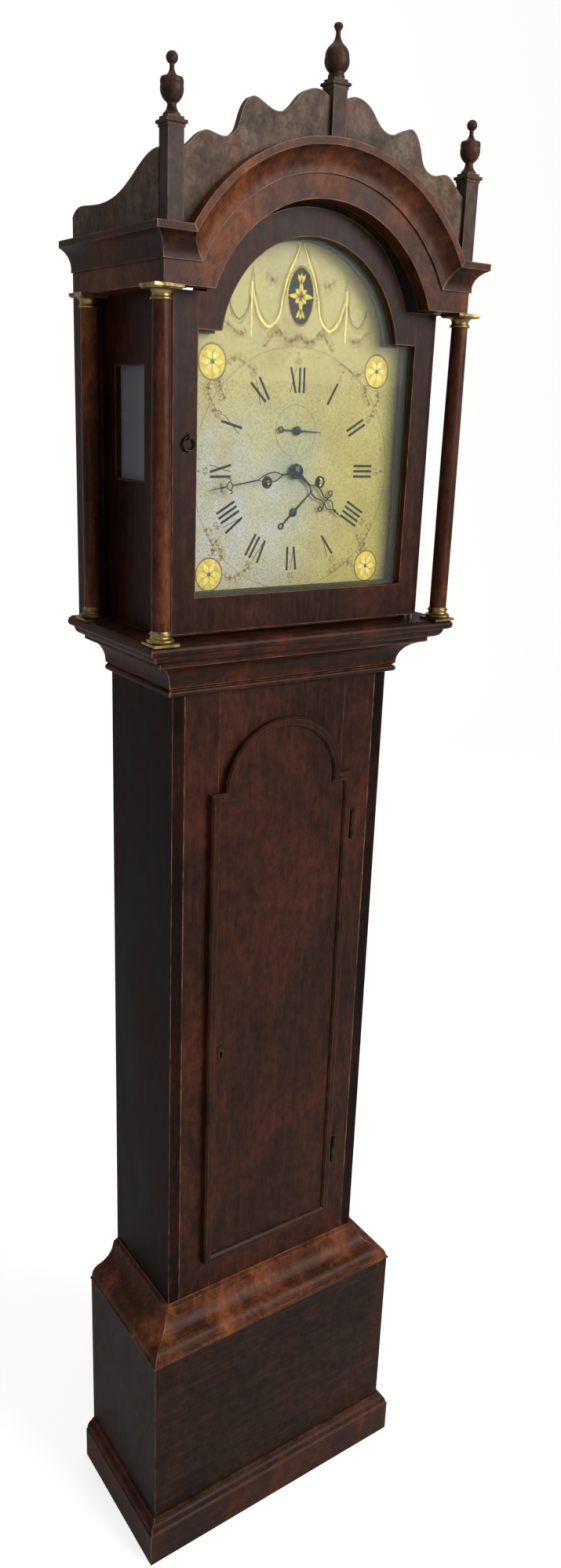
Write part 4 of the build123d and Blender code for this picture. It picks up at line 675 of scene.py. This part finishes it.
# Pierced hands, drawn upright with the hub at the origin and turned to the photographed time
handLook = {"thick": 0.0009, "minute_hand": 260.4, "hour_hand": 128.0, "seconds_hand": 92.0, "date_hand": 47.0}


def bothSides(points, widths):                      # a bowed bar on each side; widths at the given shares of it
    line = np.asarray(points, float)
    shares, sizes = zip(*widths)
    bars = [curve(*line), curve(*(line * (-1, 1)))]
    return [strip(bar, np.interp(np.linspace(0, 1, len(bar)), shares, sizes)) for bar in bars]


def hourShapes():
    shapes = [oval((0, 0), 9.5, 9.5, 0.5, 40), strip([(0, 8), (0, 28)], [5.0, 2.4])]
    shapes += bothSides([(0, 27), (5.6, 36), (6.2, 45), (3.0, 54), (5.0, 61)], [(0, 1.3), (0.3, 1.9), (1, 1.2)])
    shapes.append(strip(curve((-11, 63), (0, 60), (11, 63)), 1.3))
    for side in (-1, 1):
        shapes.append(oval((side * 12.6, 59.6), 3.5, 3.5, 0.62, 20))
        shapes.append(strip(curve((side * 3, 61), (side * 5.8, 68), (side * 2.0, 74), (0, 77)), 1.2))
    shapes += [strip([(0, 76), (0, 93.5)], [2.0, 0.5]), oval((0, 80), 2.1, 2.1, steps=16),
               oval((0, 86), 1.4, 1.4, steps=12)]
    return shapes


def minuteShapes():
    shapes = [oval((0, 0), 7.5, 7.5, 0.44, 36), strip([(0, 6), (0, 24)], [3.6, 1.6])]
    shapes += bothSides([(0, 23), (4.8, 33), (5.4, 43), (2.6, 54), (0, 60)], [(0, 1.1), (0.5, 1.5), (1, 1.1)])
    shapes.append(strip([(0, 59), (0, 97)], [1.7, 1.5]))
    for side in (-1, 1):
        shapes.append(strip(curve((0, 96), (side * 5.0, 100.5), (0, 106)), 1.1))
        shapes.append(strip(curve((side * 4.4, 100.5), (side * 7.6, 98.4), (side * 9.0, 102.5)), 0.9))
        shapes.append(strip(curve((0, 111), (side * 3.4, 113.5), (side * 5.6, 111.8)), 0.9))
    shapes += [strip([(0, 105), (0, 130)], [1.6, 0.5]), oval((0, 112), 1.7, 1.7, steps=14)]
    return shapes


def pointerShapes(length, tail):
    return [oval((0, 0), 5.4, 5.4, 0.3, 30), strip([(0, 4), (0, length)], [2.6, 0.5]),
            strip([(0, -4), (0, 3.6 - tail)], [2.2, 1.6]), oval((0, -tail), 4.0, 4.0, 0.6, 24)]


handPlan = [
    ("hour_hand", hourShapes(), dialCentre, "hour_works"),
    ("minute_hand", minuteShapes(), dialCentre, "minute_works"),
    ("seconds_hand", pointerShapes(36.7, 24.2), secondsCentre, "escape_works"),
    ("date_hand", pointerShapes(40.3, 24.5), dateCentre, "date_pointer"),
]
for node, shapes, centre, body in handPlan:
    low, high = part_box(node)
    placed = [(turned(points, handLook[node], centre), faces) for points, faces in shapes]
    middle = (low.y + high.y) / 2
    piece = flatPiece(node + "_pierced", placed, middle, handLook["thick"], "blued", body)
    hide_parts(node)

# Bosses over the hubs, as (radius, distance in front of the paint)
bosses = {
    "centre_boss": (dialCentre, "minute_works", [(0.01, 10.6), (1.2, 10.6), (2.6, 10.3), (4.6, 9.9), (6.8, 9.3),
                                                 (7.4, 8.9), (7.4, 8.6), (3.2, 8.6)]),
    "seconds_boss": (secondsCentre, "escape_works", [(0.01, 4.2), (1.6, 4.2), (3.4, 4.0), (4.8, 3.7), (5.2, 3.4),
                                                     (1.0, 3.4)]),
    "date_boss": (dateCentre, "date_pointer", [(0.01, 2.5), (1.6, 2.5), (3.4, 2.3), (4.8, 2.0), (5.2, 1.7),
                                               (1.2, 1.6)]),
}
for name, (centre, body, profile) in bosses.items():
    lathe(name, profile, centre, "blued", body)
print("hands done")


# Studio: pale floor and backdrop, soft lamps, and the camera at the photograph's angle
studio = {"floor": (206, 206, 204), "size": 14.0, "bendStart": 3.0, "bend": 1.6, "wallTop": 6.0, "sky": 0.26,
          "lift": 0.74, "mirrorLift": 0.12}
lamps = {
    "keyLamp": {"place": (1.6, -3.2, 2.9), "aim": (0, 0, 1.2), "size": (2.4, 2.4), "power": 150.0},
    "fillLamp": {"place": (-3.0, -1.6, 1.8), "aim": (0, 0, 1.1), "size": (2.0, 2.6), "power": 3.0},
    "topLamp": {"place": (0.0, 0.6, 4.2), "aim": (0, 0, 1.6), "size": (2.0, 2.0), "power": 20.0},
}
cameraPlan = {"place": (-0.8338, -1.2370, 1.6985), "yaw": 34.79, "pitch": -17.66, "roll": 2.12, "focal": 1435.383,
              "centre": (354.681, 978.188), "frame": (715, 2000), "sensor": 36.0, "farthest": 50.0}


def makeStageMaterial():                            # a matt floor; the camera sees it lifted towards white
    material, tree, shader = newMaterial("paleStage", 0.7)
    shader.inputs["Base Color"].default_value = linear(*studio["floor"])
    seen = addNode(tree, "ShaderNodeLightPath")
    mirrored = product(tree, seen.outputs["Is Glossy Ray"], studio["mirrorLift"])
    direct = addNode(tree, "ShaderNodeMath", operation="MAXIMUM")
    tree.links.new(seen.outputs["Is Camera Ray"], direct.inputs[0])
    tree.links.new(seen.outputs["Is Transmission Ray"], direct.inputs[1])
    lift = addNode(tree, "ShaderNodeMath", operation="MULTIPLY_ADD")
    lift.inputs[1].default_value = studio["lift"]
    tree.links.new(direct.outputs[0], lift.inputs[0])
    tree.links.new(mirrored, lift.inputs[2])
    shader.inputs["Emission Color"].default_value = (1.0, 1.0, 1.0, 1.0)
    tree.links.new(lift.outputs[0], shader.inputs["Emission Strength"])
    return material


def makeStage():                                    # a floor that curves up into a wall: one swept profile
    half, start, bend = studio["size"] / 2, studio["bendStart"], studio["bend"]
    turn = np.linspace(0, np.pi / 2, 16)
    rise = np.stack([start + bend * np.sin(turn), bend - bend * np.cos(turn)], 1)
    profile = np.concatenate([[(-half, 0.0)], rise, [(start + bend, studio["wallTop"])]])
    count = len(profile)
    left = np.stack([np.full(count, -half), profile[:, 0], profile[:, 1]], 1)
    right = left * (-1, 1, 1)
    index = np.arange(count - 1)
    mesh = bpy.data.meshes.new("floor")
    mesh.from_pydata(np.concatenate([left, right]).tolist(), [],
                     np.stack([index, index + count, index + count + 1, index + 1], 1).tolist())
    mesh.shade_smooth()
    mesh.materials.append(makeStageMaterial())
    floor = linked("floor", mesh)


def addLamp(name, place, aim, size, power):
    lamp = bpy.data.lights.new(name, "AREA")
    lamp.shape = "RECTANGLE"
    lamp.size, lamp.size_y = size
    lamp.energy = power
    holder = linked(name, lamp)
    holder.location = place
    holder.rotation_euler = (Vector(aim) - Vector(place)).to_track_quat("-Z", "Y").to_euler()


def makeWorld():
    world = bpy.data.worlds.new("studioSky")
    world.use_nodes = True
    tree = world.node_tree
    sky = tree.nodes["Background"]
    sky.inputs["Color"].default_value = (1.0, 1.0, 1.0, 1.0)
    sky.inputs["Strength"].default_value = studio["sky"]
    seen = addNode(tree, "ShaderNodeBackground")
    seen.inputs["Strength"].default_value = 1.0
    path = addNode(tree, "ShaderNodeLightPath")
    mix = addNode(tree, "ShaderNodeMixShader")
    tree.links.new(path.outputs["Is Camera Ray"], mix.inputs[0])
    tree.links.new(sky.outputs[0], mix.inputs[1])
    tree.links.new(seen.outputs[0], mix.inputs[2])
    tree.links.new(mix.outputs[0], tree.nodes["World Output"].inputs["Surface"])
    bpy.context.scene.world = world


def makeCamera():
    plan = cameraPlan
    yaw, pitch, roll = (math.radians(plan[key]) for key in ("yaw", "pitch", "roll"))
    ahead = Vector((math.sin(yaw) * math.cos(pitch), math.cos(yaw) * math.cos(pitch), math.sin(pitch)))
    right = Vector((math.cos(yaw), -math.sin(yaw), 0.0))
    up = right.cross(ahead)
    tilted = right * math.cos(roll) + up * math.sin(roll)
    raised = up * math.cos(roll) - right * math.sin(roll)
    camera = bpy.data.cameras.new("camera")
    camera.sensor_fit = "VERTICAL"
    camera.sensor_height = plan["sensor"]
    width, height = plan["frame"]
    camera.lens = plan["focal"] / height * plan["sensor"]
    camera.shift_x = (width / 2 - plan["centre"][0]) / height
    camera.shift_y = (plan["centre"][1] - height / 2) / height
    camera.clip_end = plan["farthest"]
    holder = linked("camera", camera)
    turn = Matrix((tilted, raised, -ahead)).transposed().to_4x4()
    holder.matrix_world = Matrix.Translation(plan["place"]) @ turn
    bpy.context.scene.camera = holder


makeStage()
makeWorld()
for name, lamp in lamps.items():
    addLamp(name, **lamp)
makeCamera()
bpy.context.scene.view_settings.view_transform = "Standard"
print("studio done")
